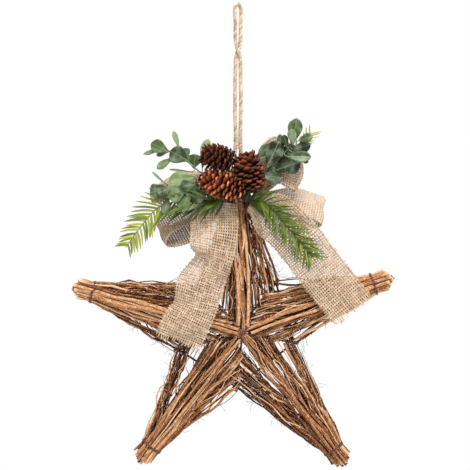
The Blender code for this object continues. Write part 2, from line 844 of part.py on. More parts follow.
def build_leaves(material):
    """Three sprays. A leaf is its base X and Z, tip X and Z, width and depth, in hundredths of the reach."""
    sprays = {
        "leaves_left_upper": (
            [(-5, 4, 1.3), (-14, 7, 1.5), (-26, 11, 2), (-41, 19, 5), (-52, 28, 8), (-72, 40, 9),
             (-86, 51, 9)],
            [
                (-73, 40, -91, 47, 15, 14), (-80, 43, -99, 37, 4, 11), (-74, 39, -86, 36, 4, 7),
                (-62, 43, -68, 61, 5, 8), (-52, 30, -71, 40, 16, 12), (-53, 32, -58, 43, 10, 4.5),
                (-68, 34, -85, 22, 7, 8), (-47, 22, -45, 37, 13, 2.5), (-47, 18, -72, 21, 2.4, 9),
                (-38, 22, -32, 53, 10, -2),
            ],
        ),
        "leaves_left_lower": (
            [(-5, -2, 1.3), (-14, 0, 1.5), (-28, 4, 2), (-44, 8, 8), (-58, 3, 12), (-70, 0, 13),
             (-78, 0, 13)],
            [
                (-44, 13, -71, 9, 12, 14), (-46, 5, -59, 4, 6, 17), (-56, 0, -72, -6, 16, 15),
                (-47, 4, -39, -13, 13, 9.5), (-52, -5, -61, -22, 9, 14), (-73, -7, -78, -26, 7, 10),
                (-78, 0, -90, -4, 11, 13), (-71, 0, -81, -3, 10, 16), (-77, 6, -90, 18, 2.4, 13),
            ],
        ),
        "leaves_right": (
            [(5, 4, 1.3), (14, 10, 1.5), (25, 16, 2.1), (38, 27, 5), (48, 37, 8), (56, 48, 9)],
            [
                (32, 24, 42, 49, 18, 9), (19, 34, 32, 47, 9, 4), (57, 48, 62, 73, 14, 10),
                (58, 46, 55, 63, 8, 15), (47, 37, 44, 57, 5, 6), (52, 43, 47, 56, 5, 12),
                (58, 42, 75, 46, 9, 6.5), (51, 35, 75, 34, 12, 11), (41, 21, 64, 29, 18, 8),
                (26, 15, 45, 13, 14, 6), (63, 51, 78, 56, 7, 11), (66, 32, 74, 29, 5, 9),
            ],
        ),
    }
    for name, (route, leaves) in sprays.items():
        blades = [
            (place(bx, bz, depth), place(tx, tz, depth + 1), width * SPRAY_REACH / 100, 0.55)
            for bx, bz, tx, tz, width, depth in leaves
        ]
        stem_with(name, [place(*p) for p in route], blades, material)


def build_sprigs(material):
    needle_sprig(
        "sprig_left",
        [place(-5, -8, 1.3), place(-14, -9.5, 1.8), place(-24, -10.5, 3), place(-35, -11, 6),
         place(-58, -12, 7), place(-82, -18, 8), place(-103, -38, 8), place(-128, -68, 8)],
        0.22, 0.98, lambda share: 1.05 - 0.55 * max(0.0, share - 0.5), 48, 0.08, material)
    needle_sprig(
        "sprig_right",
        [place(5, -7, 1.3), place(13, -10, 1.6), place(20, -12, 4), place(28, -14, 9), place(38, -24, 12),
         place(50, -38, 12), place(64, -54, 12), place(79, -73, 12)],
        0.15, 0.98, lambda share: 1.15 - 0.45 * share, 42, 0.25, material)
    needle_sprig(
        "sprig_tip_right",
        [place(5, -1, 1.3), place(16, 3, 1.5), place(28, 9, 2.4), place(46, 22, 3), place(62, 40, 2),
         place(78, 61, 2)],
        0.72, 0.98, lambda share: 0.55, 42, 0.1, material)


build()
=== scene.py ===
# %% [markdown]
# # A twig star with a burlap bow
# A hollow star of tied twigs on a wire frame, hung from a loop of jute rope.
# A bow of burlap ribbon, pine cones, leaves and fir sprigs sit on its top point.
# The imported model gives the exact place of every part. Each cell dresses one of them.

# %% Load the frame
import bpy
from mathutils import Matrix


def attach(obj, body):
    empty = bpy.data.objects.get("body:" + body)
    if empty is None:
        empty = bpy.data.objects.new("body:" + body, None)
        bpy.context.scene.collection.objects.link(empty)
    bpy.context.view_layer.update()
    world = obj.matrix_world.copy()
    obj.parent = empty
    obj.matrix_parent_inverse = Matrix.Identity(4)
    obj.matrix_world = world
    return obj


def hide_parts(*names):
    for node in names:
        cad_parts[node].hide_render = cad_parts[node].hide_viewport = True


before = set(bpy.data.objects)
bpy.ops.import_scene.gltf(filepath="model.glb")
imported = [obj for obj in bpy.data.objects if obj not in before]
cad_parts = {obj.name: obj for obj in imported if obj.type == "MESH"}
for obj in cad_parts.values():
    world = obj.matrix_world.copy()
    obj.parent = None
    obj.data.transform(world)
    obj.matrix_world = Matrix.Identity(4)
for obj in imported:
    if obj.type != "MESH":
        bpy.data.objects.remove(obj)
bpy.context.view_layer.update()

# %% Tools of Blender and Python
import functools
import math
import random
import types

import bmesh
import bpy
import numpy as np
from mathutils import Vector

MM = 0.001
UP = np.array((0.0, 0.0, 1.0))
FRONT = np.array((0.0, -1.0, 0.0))


def in_scene(name, data):
    """Makes an object of a mesh, curve, lamp or camera and puts it in the scene."""
    piece = bpy.data.objects.new(name, data)
    bpy.context.scene.collection.objects.link(piece)
    return piece


# %% [markdown]
# ## The camera
# The photograph was taken straight from the front, from far enough away to show no strong perspective.
# A long lens two metres away does the same. Its field is as wide as the photograph's frame at the star's
# middle plane, so a place in the picture is a place in the model.

# %% Set the camera
FRAME_WIDTH = 0.503
FRAME_MIDDLE = (-0.0032, -0.2456)
CAMERA_DISTANCE = 2.2
lens = bpy.data.cameras.new("camera")
lens.sensor_width = 36
lens.lens = lens.sensor_width * CAMERA_DISTANCE / FRAME_WIDTH
lens.clip_start = 0.05
camera = in_scene("camera", lens)
camera.location = (FRAME_MIDDLE[0], -CAMERA_DISTANCE, FRAME_MIDDLE[1])
camera.rotation_euler = (math.pi / 2, 0, 0)
bpy.context.scene.camera = camera
print("lens", round(lens.lens, 1), "mm")

# %% [markdown]
# ## Colours and shader nodes
# Colours are written as they look on a screen. A shader works in linear light, so one function turns them.
# One more function adds a shader node with its values and its links, and every material uses it. The last one
# feeds what the nodes give to the material's shader.

# %% Helpers for materials


def linear(code):
    """A colour such as "#9A6B42" as linear red, green, blue and alpha."""
    parts = [int(code[k:k + 2], 16) / 255 for k in (1, 3, 5)]
    return tuple(p / 12.92 if p <= 0.04045 else ((p + 0.055) / 1.055) ** 2.4 for p in parts) + (1.0,)


def add_node(material, kind, *values, output=0, more=(), stops=(), **named):
    """Adds a shader node and gives one of its outputs.

    Values go to its inputs in order, more to inputs by number, named ones to settings or inputs by name, and
    stops to its colour ramp. A value that is the output of another node is linked.
    """
    tree = material.node_tree
    node = tree.nodes.new("ShaderNode" + kind)
    if stops:
        elements = node.color_ramp.elements
        while len(elements) < len(stops):
            elements.new(0.5)
        for element, (place, code) in zip(elements, stops):
            element.position = place
            element.color = linear(code)
    for name, value in {**named, **dict(enumerate(values)), **dict(more)}.items():
        if isinstance(value, bpy.types.NodeSocket):
            tree.links.new(value, node.inputs[name])
        elif isinstance(name, int) or name in node.inputs:
            node.inputs[name].default_value = value
        else:
            setattr(node, name, value)
    return node.outputs[output]


def new_material(name, colour, roughness, specular=0.5, ior=1.5, metallic=0.0, sheen=0.0):
    """A material with one Principled shader, and the function that adds nodes to it."""
    material = bpy.data.materials.new(name)
    material.use_nodes = True
    inputs = material.node_tree.nodes["Principled BSDF"].inputs
    for socket, value in (("Base Color", linear(colour)), ("Roughness", roughness), ("IOR", ior),
                          ("Metallic", metallic), ("Sheen Weight", sheen), ("Specular IOR Level", specular)):
        inputs[socket].default_value = value
    return material, functools.partial(add_node, material)


def coat(material, colour=None, roughness=None, normal=None):
    """Links what the nodes give to the material's shader."""
    tree = material.node_tree
    for name, socket in (("Base Color", colour), ("Roughness", roughness), ("Normal", normal)):
        if socket is not None:
            tree.links.new(socket, tree.nodes["Principled BSDF"].inputs[name])


# %% [markdown]
# ## Lines and tubes
# Rope, thread, wire and stems all follow a line. These helpers draw a smooth line through a few points,
# carry a sideways direction along it without twisting, and wrap rings of corners round it.

# %% Helpers for lines


def unit(vectors):
    vectors = np.asarray(vectors, float)
    return vectors / np.maximum(np.linalg.norm(vectors, axis=-1, keepdims=True), 1e-12)


def mix(a, b, share):
    return a + (b - a) * share


def smoothstep(x):
    x = min(1.0, max(0.0, x))
    return x * x * (3 - 2 * x)


def distances(points):
    """How far along its line each point lies."""
    return np.r_[0, np.cumsum(np.linalg.norm(np.diff(points, axis=0), axis=1))]


def line_length(points):
    return float(np.linalg.norm(np.diff(points, axis=0), axis=1).sum())


def read_at(goals, places, values):
    """Numbers or vectors that are known at places along a line, read at other places."""
    values = np.asarray(values, float)
    if values.ndim == 1:
        return np.interp(goals, places, values)
    return np.stack([np.interp(goals, places, column) for column in values.T], axis=-1)


def smooth_line(points, step):
    """Points every step or so on a smooth curve through the given ones."""
    points = np.asarray(points, float)
    padded = np.vstack([2 * points[:1] - points[1:2], points, 2 * points[-1:] - points[-2:-1]])
    t = np.linspace(0, 1, 25)[:-1, None]
    arcs = []
    for before, a, b, after in zip(padded, padded[1:], padded[2:], padded[3:]):
        arcs.append(0.5 * (2 * a + (b - before) * t + (2 * before - 5 * a + 4 * b - after) * t**2
                           + (3 * a - before - 3 * b + after) * t**3))
    fine = np.vstack(arcs + [points[-1:]])
    lengths = distances(fine)
    count = 2 * max(1, round(lengths[-1] / step / 2))
    return read_at(np.linspace(0, lengths[-1], count + 1), lengths, fine)


def carried(points, first_side):
    """The direction along a line and two directions across it, carried along without twist."""
    along = unit(np.gradient(np.asarray(points, float), axis=0))
    side = np.asarray(first_side, float)
    sides = []
    for direction in along:
        side = unit(side - direction * (side @ direction))
        sides.append(side)
    return along, np.array(sides), np.cross(along, sides)


# %% [markdown]
# A piece remembers two things at each point for its material. "tone" is a number that differs from twig to
# twig or thread to thread. "lay" is the place on the straight, unbent twig or thread, in metres, so that
# bark and fibres run along it however it bends.

# %% Helpers for meshes


def store(mesh, name, kind, values):
    attribute = mesh.attributes.get(name) or mesh.attributes.new(name, kind, "POINT")
    attribute.data.foreach_set("value" if kind == "FLOAT" else "vector", np.asarray(values, float).ravel())


def mesh_piece(name, shapes, material):
    """One object from many closed shapes. A shape is its points, faces, tone and lay."""
    points, faces, tones, lays = [], [], [], []
    start = 0
    for shape_points, shape_faces, tone, lay in shapes:
        points.append(shape_points)
        faces += [[corner + start for corner in face] for face in shape_faces]
        tones.append(np.broadcast_to(tone, (len(shape_points),)))
        lays.append(lay)
        start += len(shape_points)
    mesh = bpy.data.meshes.new(name)
    mesh.from_pydata(np.vstack(points).tolist(), [], faces)
    mesh.polygons.foreach_set("use_smooth", [True] * len(mesh.polygons))
    store(mesh, "tone", "FLOAT", np.concatenate(tones))
    store(mesh, "lay", "FLOAT_VECTOR", np.vstack(lays))
    mesh.materials.append(material)
    return in_scene(name, mesh)


def strand(points, side, up, half_width, half_depth, corners, tone):
    """A shape for mesh_piece: rings of corners round a line, with closed ends."""
    count = len(points)
    wide, deep = (np.broadcast_to(np.asarray(half, float), (count,)) for half in (half_width, half_depth))
    angle = 2 * math.pi * (np.arange(corners) + 0.5) / corners
    ring = (points[:, None] + side[:, None] * (np.cos(angle)[None, :, None] * wide[:, None, None])
            + up[:, None] * (np.sin(angle)[None, :, None] * deep[:, None, None]))
    start = np.arange(count - 1)[:, None] * corners
    here = np.arange(corners)[None]
    after = (here + 1) % corners
    walls = np.stack([start + here, start + after, start + corners + after, start + corners + here], -1)
    last = (count - 1) * corners
    faces = walls.reshape(-1, 4).tolist() + [list(range(corners))[::-1], [last + k for k in range(corners)]]
    angle = np.tile(2 * math.pi * np.arange(corners) / corners, count)
    wide = np.repeat(wide, corners)
    lay = np.stack([np.cos(angle) * wide, np.sin(angle) * wide + 0.01 * tone,
                    np.repeat(distances(points), corners) + 0.3 * tone], axis=1)
    return ring.reshape(-1, 3), faces, tone, lay


def tube(line, radius, corners, tone, first_side=(0, 1, 0.1)):
    """A round strand along a line."""
    _, side, up = carried(line, first_side)
    return strand(line, side, up, radius, radius, corners, tone)


def dress(piece, nodes):
    """Puts a finished piece on the model's one body, in place of its CAD nodes."""
    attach(piece, "root")
    if nodes:
        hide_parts(*nodes)
    print(piece.name, len(piece.data.polygons), "faces")


# %% [markdown]
# ## Jute rope
# Jute cord of 4 mm is three strands of loose, hairy fibre laid round each other. It could be a plain tube
# with a bump pattern, but its edge would be straight. Here three strands are wound round the rope's own line,
# so the edge has the bumps of a real cord.
# The fibre is matt and pale gold, with darker grooves where the strands meet.

# %% The jute finish
jute, node = new_material("jute, three-ply twisted cord", "#CDB292", 0.92, specular=0.2, ior=1.46, sheen=0.25)
lay = node("Attribute", attribute_name="lay", output="Vector")
ply = node("Attribute", attribute_name="tone", output="Fac")
# fibres of about 0.1 mm are drawn 0.5 mm wide
fibres = node("TexNoise", node("Mapping", lay, Scale=(1, 1, 0.10)), Scale=2000, Detail=3)
patches = node("TexNoise", lay, Scale=160, Detail=2)
blend = node("Math", fibres, 0.6, patches, operation="MULTIPLY_ADD")
blend = node("Math", ply, 0.22, blend, operation="MULTIPLY_ADD")
colours = node("ValToRGB", blend, stops=[(0.52, "#75604A"), (0.85, "#A88F74"), (1.0, "#C4B39C")])
coat(jute, colours, normal=node("Bump", Strength=0.6, Distance=0.0003, Height=fibres))

# %% [markdown]
# The rope's line goes round the neck of the top bundle, up, crossing near the top, over a hook that isn't
# shown, and down the other way. Its other half is the first one turned about the upright axis. It is the
# model's line, but for the two legs, which lie side by side above the cones. Held taut by the star's weight,
# it doesn't sag.

# %% The rope's line
GAP = 0.0003
ROPE_DIAMETER = 0.004
ROPE_DROP = 0.1725
ROPE_WRAP_PITCH = 0.009
ROPE_STEP = 2.1 * ROPE_DIAMETER
BUNDLE_FLARE = 0.027


# heights above the cones, with the legs' distance from the middle and their bearing seen from above
LEG_TURNS = ((-0.152, 0.0027, 0), (-0.146, 0.0025, 0), (-0.140, 0.0024, 0), (-0.133, 0.0026, 0),
             (-0.115, 0.0031, 0), (-0.090, 0.0031, 0), (-0.068, 0.0027, 0), (-0.056, 0.0025, -20),
             (-0.050, 0.0024, -70), (-0.045, 0.0024, -120), (-0.038, 0.0027, -160), (-0.028, 0.0040, -135),
             (-0.018, 0.0068, -115), (-0.008, 0.0097, -110), (-0.0015, 0.0078, -110))


def round_axis(radius, degrees, z):
    angle = math.radians(degrees)
    return radius * math.cos(angle), radius * math.sin(angle), z


def rope_route():
    """The points that the rope goes through, from one tucked end to the other."""
    chord_sag = ROPE_STEP**2 / (4 * BUNDLE_FLARE)
    wrap_radius = (BUNDLE_FLARE + ROPE_DIAMETER) / 2 + chord_sag + GAP
    wrap_top = -(ROPE_DROP + ROPE_DIAMETER / 2)
    leg = [round_axis(wrap_radius, -degrees, wrap_top - ROPE_WRAP_PITCH * degrees / 360)
           for degrees in range(240, -1, -30)]
    leg += [(wrap_radius - 0.0012, 0.0015, -(ROPE_DROP - 0.0030)), (0.0100, 0.0020, -(ROPE_DROP - 0.0090)),
            (0.0040, 0.0010, -(ROPE_DROP - 0.0145))]
    leg += [round_axis(radius, degrees, z) for z, radius, degrees in LEG_TURNS]
    return leg + [(0, 0, ROPE_DIAMETER / 2)] + [(-x, -y, z) for x, y, z in reversed(leg)]


rope_line = smooth_line(rope_route(), 0.0012)
rope_length = line_length(rope_line)
print("rope", round(rope_length, 3), "m long")

# %% Lay the three strands
STRAND_RADIUS = 0.00113
STRAND_ORBIT = 0.00113
LAY_LENGTH = 0.0105
along, side, up = carried(rope_line, (0, 1, 0))
turned = np.linspace(0, 2 * math.pi * rope_length / LAY_LENGTH, len(rope_line))
# the cord loosens a little just above the cones
loose = 1 + 0.14 * np.exp(-((rope_line[:, 2] + 0.150) / 0.010) ** 2)
strands = []
for k in range(3):
    angle = (turned + 2 * math.pi * k / 3)[:, None]
    orbit = side * np.cos(angle) + up * np.sin(angle)
    strand_line = rope_line + orbit * STRAND_ORBIT * loose[:, None]
    strand_along = unit(np.gradient(strand_line, axis=0))
    strand_side = unit(np.cross(strand_along, orbit))
    strand_up = np.cross(strand_along, strand_side)
    radius = STRAND_RADIUS * loose
    strands.append(strand(strand_line, strand_side, strand_up, radius, radius, 7, 0.2 + 0.3 * k))

# %% [markdown]
# Loose fibres stand out from jute everywhere. Short hairs, each a thin three-sided sliver, start on the
# strands and lean away.

# %% Add the hairs
ROPE_HAIRS = 900
HAIR_ROOT = 0.0018
HAIR_RADII = (0.00008, 0.00007, 0.00003)
rng = random.Random(5)
for k in range(ROPE_HAIRS):
    at = rng.randrange(4, len(rope_line) - 4)
    angle = rng.uniform(0, 2 * math.pi)
    out = side[at] * math.cos(angle) + up[at] * math.sin(angle)
    root = rope_line[at] + out * HAIR_ROOT
    lean = unit(out + along[at] * rng.uniform(-2.2, 2.2))
    reach = rng.uniform(0.0007, 0.0018)
    tip = rope_line[at] + out * (0.0019 + reach * 0.6) + lean * reach * 0.6
    hair = np.array([root, mix(root, tip, 0.5) + out * 0.0002, tip])
    strands.append(tube(hair, HAIR_RADII, 3, rng.random(), np.cross(out, along[at])))
rope = mesh_piece("rope_jute", strands, jute)
dress(rope, ["hanging_rope"])

# %% [markdown]
# ## Modelling by written steps
# The floor, a twig, a cone's scale, a leaf and a needle are modelled in edit mode, as a maker would by hand.
# Each starts as a plain shape, and most are cut across by planes. Points are then picked by where they lie,
# and moved or scaled. Written down in this way, a step can be read again and changed.

# %% Helpers for modelling


def select_only(*pieces):
    bpy.ops.object.select_all(action="DESELECT")
    for piece in pieces:
        piece.select_set(True)
    bpy.context.view_layer.objects.active = pieces[0]


def joined(name, pieces):
    """Joins pieces into the first one and names it."""
    select_only(*pieces)
    bpy.ops.object.join()
    piece = bpy.context.view_layer.objects.active
    piece.name = name
    piece.data.name = name
    return piece


def pick(piece, test):
    """In edit mode, selects the points whose place passes a test, and all that lies between them."""
    bpy.ops.mesh.select_mode(type="VERT")
    bpy.ops.mesh.select_all(action="DESELECT")
    shape = bmesh.from_edit_mesh(piece.data)
    for point in shape.verts:
        point.select = bool(test(point.co))
    shape.select_flush(True)
    bmesh.update_edit_mesh(piece.data)


def push(piece, test, shift):
    """In edit mode, moves the points that pass a test."""
    pick(piece, test)
    bpy.ops.transform.translate(value=shift)


def stretch(piece, test, factors, centre):
    """In edit mode, scales the points that pass a test about a centre."""
    pick(piece, test)
    bpy.ops.transform.resize(value=factors, center_override=centre)


def cut_across(axis, places):
    """In edit mode, cuts the whole piece by planes across X, Y or Z."""
    for place in places:
        bpy.ops.mesh.select_all(action="SELECT")
        point, normal = [0, 0, 0], [0, 0, 0]
        point[axis], normal[axis] = place, 1
        bpy.ops.mesh.bisect(plane_co=point, plane_no=normal)


def into_edit_mode(name):
    """Names the new piece, applies its place and size, and opens it for modelling."""
    piece = bpy.context.object
    piece.name = name
    bpy.ops.object.transform_apply(location=True, rotation=True, scale=True)
    bpy.ops.object.mode_set(mode="EDIT")
    return piece


def out_of_edit_mode(piece, material, degrees=180):
    """Closes a modelled piece, keeps edges sharper than an angle sharp, and gives it its material."""
    bpy.ops.object.mode_set(mode="OBJECT")
    if degrees < 180:
        bpy.ops.object.shade_smooth_by_angle(angle=math.radians(degrees))
    else:
        bpy.ops.object.shade_smooth()
    piece.data.materials.append(material)
    print(piece.name, len(piece.data.polygons), "faces")


# %% [markdown]
# ## The light and the pale floor
# The photograph is a cut-out on white. White surroundings light the star from every side, as the walls of a
# photo tent do, and one large soft lamp above and in front gives the shading. A plain pale floor lies well
# below the star, just too low for the camera to see it from the front.

# %% Build the floor
FLOOR = -0.72
FLOOR_RADIUS = 1.75
bpy.ops.object.select_all(action="DESELECT")
bpy.ops.mesh.primitive_circle_add(vertices=96, radius=FLOOR_RADIUS, fill_type="NGON", location=(0, 0, FLOOR))
floor = into_edit_mode("floor")
bpy.ops.mesh.select_all(action="SELECT")
bpy.ops.mesh.inset(thickness=0.2)
push(floor, lambda co: co.to_2d().length > 1.7, (0, 0, -0.03))
floor_paint, _ = new_material("matt white paper", "#F2F2F1", 0.9, specular=0.1)
out_of_edit_mode(floor, floor_paint)

# %% Hang the light
LAMP_PLACE = (0.35, -1.25, 1.3)
light = bpy.data.lights.new("key light", "AREA")
light.size = 0.8
light.energy = 60
lamp = in_scene("key light", light)
lamp.location = LAMP_PLACE
lamp.rotation_euler = (Vector((0, 0, -0.25)) - Vector(LAMP_PLACE)).to_track_quat("-Z", "Y").to_euler()
world = bpy.data.worlds.new("studio")
world.use_nodes = True
world.node_tree.nodes["Background"].inputs["Color"].default_value = (1.0, 1.0, 1.0, 1.0)
world.node_tree.nodes["Background"].inputs["Strength"].default_value = 1.0
bpy.context.scene.world = world
bpy.context.scene.view_settings.view_transform = "Standard"
print("lamp", light.energy, "watts")

# %% [markdown]
# ## Where the star's parts lie
# The star has five arms. Each is named with its bearing in degrees and its share of the mean reach, as the
# model has them. The ridges of the arms meet at the hub, and the valleys run from the hub to the corners.

# %% The star's outline
ARM_REACH = 0.178
ARMS = (("right", 18.8, 0.972), ("top", 90.0, 0.983), ("left", 165.3, 1.017), ("lower_left", 233.2, 0.983),
        ("lower_right", 308.8, 1.028))
CORNER_REACH = 0.067
CORNERS = (("upper_right", 51.5, 1.015), ("upper_left", 128.5, 1.000), ("lower_left", 197.7, 1.048),
           ("bottom", 268.0, 0.951), ("lower_right", 347.6, 0.964))
HUB_DEPTH = 0.038
HUB_OFFSET = np.array((0.0048, 0, -0.0016))
STAR_CENTRE = np.array((0, 0, -(ROPE_DROP + ARM_REACH * ARMS[1][2])))
BUNDLE_WAIST = 0.023
TIE_INSET = 0.020
WIRE_DIAMETER = 0.003
FRAME_SINK = 0.0085
CORNER_INSET = 0.003


def bearing_vector(degrees):
    return np.array((math.cos(math.radians(degrees)), 0.0, math.sin(math.radians(degrees))))


def corner_point(corner, inset=0.0):
    return STAR_CENTRE + bearing_vector(corner[1]) * (CORNER_REACH * corner[2] - inset)


def hub_point(face, depth):
    """The meeting point of the ridges; face is -1 in front and 1 behind."""
    offset = HUB_OFFSET if face < 0 else 0
    return STAR_CENTRE + offset + np.array((0, face * depth, 0))


def arm_end(index):
    return STAR_CENTRE + bearing_vector(ARMS[index][1]) * ARM_REACH * ARMS[index][2]


def arm_axes(index, face):
    """An arm's end, and the directions inward, across it and out of the star's face."""
    bearing = ARMS[index][1]
    return arm_end(index), -bearing_vector(bearing), bearing_vector(bearing + 90), np.array((0.0, face, 0.0))


# %% [markdown]
# ## Twig bark
# The twigs are thin shoots of vine and birch with their bark on. The bark is dry and matt, from near black to
# a pale tan where it is worn, with fine grooves along it. Each twig's tone decides where on that range it
# lies. Where a twig is cut, pale wood shows.

# %% The bark and the cut wood
bark, node = new_material("dry twig bark", "#8C5E3C", 0.66, specular=0.25, ior=1.45)
lay = node("Attribute", attribute_name="lay", output="Vector")
tone = node("Attribute", attribute_name="tone", output="Fac")
worn = node("Attribute", attribute_name="worn", output="Fac")
# grooves about 0.6 mm apart and 8 mm long
grooves = node("TexNoise", node("Mapping", lay, Scale=(1, 1, 0.08)), Scale=1500, Detail=4, Roughness=0.6)
# patches of lost and of stained bark, 2 mm wide and 5 mm long
patches = node("TexNoise", node("Mapping", lay, Scale=(1, 1, 0.4)), Scale=480, Detail=3, Roughness=0.65)
patches = node("MapRange", patches, 0.32, 0.68)
mottled = node("Math", patches, 0.38, tone, operation="MULTIPLY_ADD")
grooved = node("Math", grooves, 0.30, mottled, operation="MULTIPLY_ADD")
bark_value = node("Math", grooved, 0.64, operation="MULTIPLY")
colours = node("ValToRGB", bark_value, stops=[
    (0.20, "#1B0902"), (0.38, "#48200B"), (0.54, "#774522"), (0.70, "#A07048"), (0.88, "#CBA482")])
# painted glints: pale flecks of 1 to 2 mm that stand in for small highlights on the bark
painted_glints = node("MapRange", node("TexNoise", lay, Scale=620, Detail=1), 0.62, 0.69, 0.0, 0.7)
# the pale mix holds the worn cut ends, with their painted shade, and the painted glints
pale = node("Math", worn, painted_glints, operation="MAXIMUM")
colours = node("Mix", pale, data_type="RGBA", more={6: colours, 7: linear("#D6B48C")}, output=2)
relief = node("Math", grooves, patches, operation="ADD")
coat(bark, colours, normal=node("Bump", Strength=0.9, Distance=0.0005, Height=relief))

cut_wood, node = new_material("cut twig wood", "#DCC59C", 0.7, specular=0.3, ior=1.45)
lay = node("Attribute", attribute_name="lay", output="Vector")
# the pale wood is clouded in spots of 1 mm
pith = node("TexNoise", lay, Scale=900, Detail=2)
coat(cut_wood, node("ValToRGB", pith, stops=[(0.3, "#8A673F"), (0.6, "#CBB088")]))

# %% [markdown]
# ## One twig, many copies
# Hundreds of twigs would take days by hand. Four are modelled, one metre long and one metre in radius, so
# that a copy can be stretched to any size. Each starts as a five-sided cylinder, is cut into twelve lengths,
# and gets crooks and swollen knots by moving and scaling its rings. Two of them get a stub where a side
# shoot broke off. A copy is then bent along its own line in the star.

# %% Model the twigs


def master_twig(name, crooks, knots, stubs):
    """A unit twig along Z. Crooks give a ring and its shift, knots a ring and its girth, stubs a ring."""
    bpy.ops.object.select_all(action="DESELECT")
    bpy.ops.mesh.primitive_cylinder_add(vertices=5, radius=1, depth=1, location=(0, 0, 0.5))
    twig = into_edit_mode(name)
    cut_across(2, [0.025] + [ring / RINGS for ring in range(1, RINGS)])
    for ring in stubs:
        height = ring / RINGS
        pick(twig, lambda co: co.x > 0.2 and abs(co.z - height) < 0.05)
        bpy.ops.mesh.extrude_region_move(TRANSFORM_OT_translate={"value": (1.6, 0, 0.04)})
        bpy.ops.transform.resize(value=(1, 0.4, 0.3), center_override=(2.2, 0, height + 0.04))
    for ring, girth in knots:
        height = ring / RINGS
        stretch(twig, lambda co: abs(co.z - height) < 0.01 and co.to_2d().length < 1.4,
                (girth, girth, 1), (0, 0, height))
    for ring, shift in crooks:
        push(twig, lambda co: abs(co.z - ring / RINGS) < 0.05, (*shift, 0))
    out_of_edit_mode(twig, bark, 50)
    twig.data.materials.append(cut_wood)
    for face in twig.data.polygons:
        if abs(face.normal.z) > 0.95 and len(face.vertices) == 5:
            face.material_index = 1
    return twig


RINGS = 12
masters = [
    master_twig("straight twig", [(3, (0.3, 0)), (8, (-0.3, 0.2))], [(2, 1.15), (5, 1.25), (9, 1.2)], []),
    master_twig("knotty twig", [(4, (0.5, 0.2)), (9, (-0.5, 0.3))],
                [(1, 0.85), (3, 1.4), (6, 1.25), (7, 0.85), (10, 1.35)], []),
    master_twig("stubby twig", [(3, (-0.4, 0.3)), (10, (0.5, 0))], [(4, 1.3), (8, 1.35)], [7]),
    master_twig("crooked twig", [(2, (0.6, 0)), (5, (-0.9, 0.4)), (8, (0.7, -0.6))],
                [(3, 1.3), (6, 1.4), (11, 1.2)], [4, 9]),
]

# %% Copy and bend a unit shape
WORN_LENGTH = 0.004


def points_of(master):
    co = np.empty(len(master.data.vertices) * 3)
    master.data.vertices.foreach_get("co", co)
    return co.reshape(-1, 3)


def moved_copy(master, places, tone, lay, worn=None):
    """A copy of a unit shape with its points at new places."""
    mesh = master.data.copy()
    mesh.vertices.foreach_set("co", places.ravel())
    store(mesh, "tone", "FLOAT", np.full(len(places), tone))
    if worn is not None:
        store(mesh, "worn", "FLOAT", worn)
    store(mesh, "lay", "FLOAT_VECTOR", lay)
    mesh.update()
    return in_scene(master.name, mesh)


def bent_copy(master, points, thick, thin, tone, turn, end_wear_and_shade=1.0):
    """A copy of a unit shape along Z, bent along a line, from radius thick to thin.

    It is turned about its line, and its worn cut end is as pale as its last argument says, a factor that
    holds painted shade as well as wear.
    """
    co = points_of(master)
    _, side, up = carried(points, (0.31, 0.95, 0.05))
    share = np.clip(co[:, 2], 0, 1)
    radius = (thick + (thin - thick) * share)[:, None]
    x = (math.cos(turn) * co[:, :1] - math.sin(turn) * co[:, 1:2]) * radius
    y = (math.sin(turn) * co[:, :1] + math.cos(turn) * co[:, 1:2]) * radius
    shares = np.linspace(0, 1, len(points))
    at, side, up = (read_at(share, shares, values) for values in (points, side, up))
    from_cut = share * line_length(points)
    lay = np.hstack([x, y, from_cut[:, None]]) + tone * 0.37
    # the worn, pale cut end is scaled by the arm's factor, which adds painted shade on the lower arms
    worn = np.clip(1 - from_cut / WORN_LENGTH, 0, 1) * min(1.0, 1.2 * tone) * end_wear_and_shade
    return moved_copy(master, at + unit(side) * x + unit(up) * y, tone, lay, worn)


# %% [markdown]
# ## The arms
# Each arm is a sheaf. Its twigs are tied near the tip, flare a little beyond the tie, and fan out behind it
# to the ridge and to the valley on each side, in front and behind. Thick straight twigs lie on the ridge, and
# a few run on their own along the outline, with a gap beside them. Thin shoots, short spurs and root hairs
# stray over the rest. No two twigs are parallel: each strays from its line and ends at its own length.

# %% Choose how the twigs part
TWIGS_PER_FAN = 16
SHOOTS_PER_FAN = 14
SPURS_PER_FAN = 9
HAIRS_PER_FAN = 6
THICKNESSES = (0.8, 0.95, 1.1, 1.25, 1.5, 1.9)
LAYERS = (0, 1, 0, 2, 1, 0, 0, 2, 0, 1, 0, 0, 2, 1, 0, 1)
LAYER_DEPTH = 0.0026
VALLEY_DEPTH = 0.0077
# how pale the cut ends are, which is wear lowered by painted shade on the lower arms and a little on the top
# arm, and how much painted light makes each arm's twigs paler or painted shade makes them darker
CUT_END_WEAR_AND_SHADE = {"right": 1.0, "top": 0.8, "left": 1.0, "lower_left": 0.25, "lower_right": 0.35}
ARM_PAINTED_LIGHT = {"right": 0.12, "top": 0.02, "left": 0.06, "lower_left": 0.0, "lower_right": -0.20}
# for an arm and its side, the two shares of the fan between which no twig lies
PARTINGS = {("left", 1): (0.74, 0.83), ("left", -1): (0.71, 0.79), ("lower_left", -1): (0.48, 0.69),
            ("lower_left", 1): (0.80, 0.92), ("lower_right", -1): (0.10, 0.28),
            ("lower_right", 1): (0.55, 0.72), ("right", -1): (0.74, 0.91), ("right", 1): (0.80, 0.92),
            ("top", 1): (0.38, 0.52), ("top", -1): (0.20, 0.34)}


def parted(share, parting):
    """Squeezes shares from 0 to 1 together so that none falls in the parting."""
    low, high = parting
    place = share * (1 - high + low)
    return place if place < low else place + high - low


def straying(start, goal, count, amount, across, normal, rng):
    """Points between two others that stray to each side of the straight line."""
    return [mix(start, goal, k / (count + 1)) + across * rng.gauss(0, amount)
            + normal * rng.gauss(0.2 * amount, 0.6 * amount) for k in range(1, count + 1)]


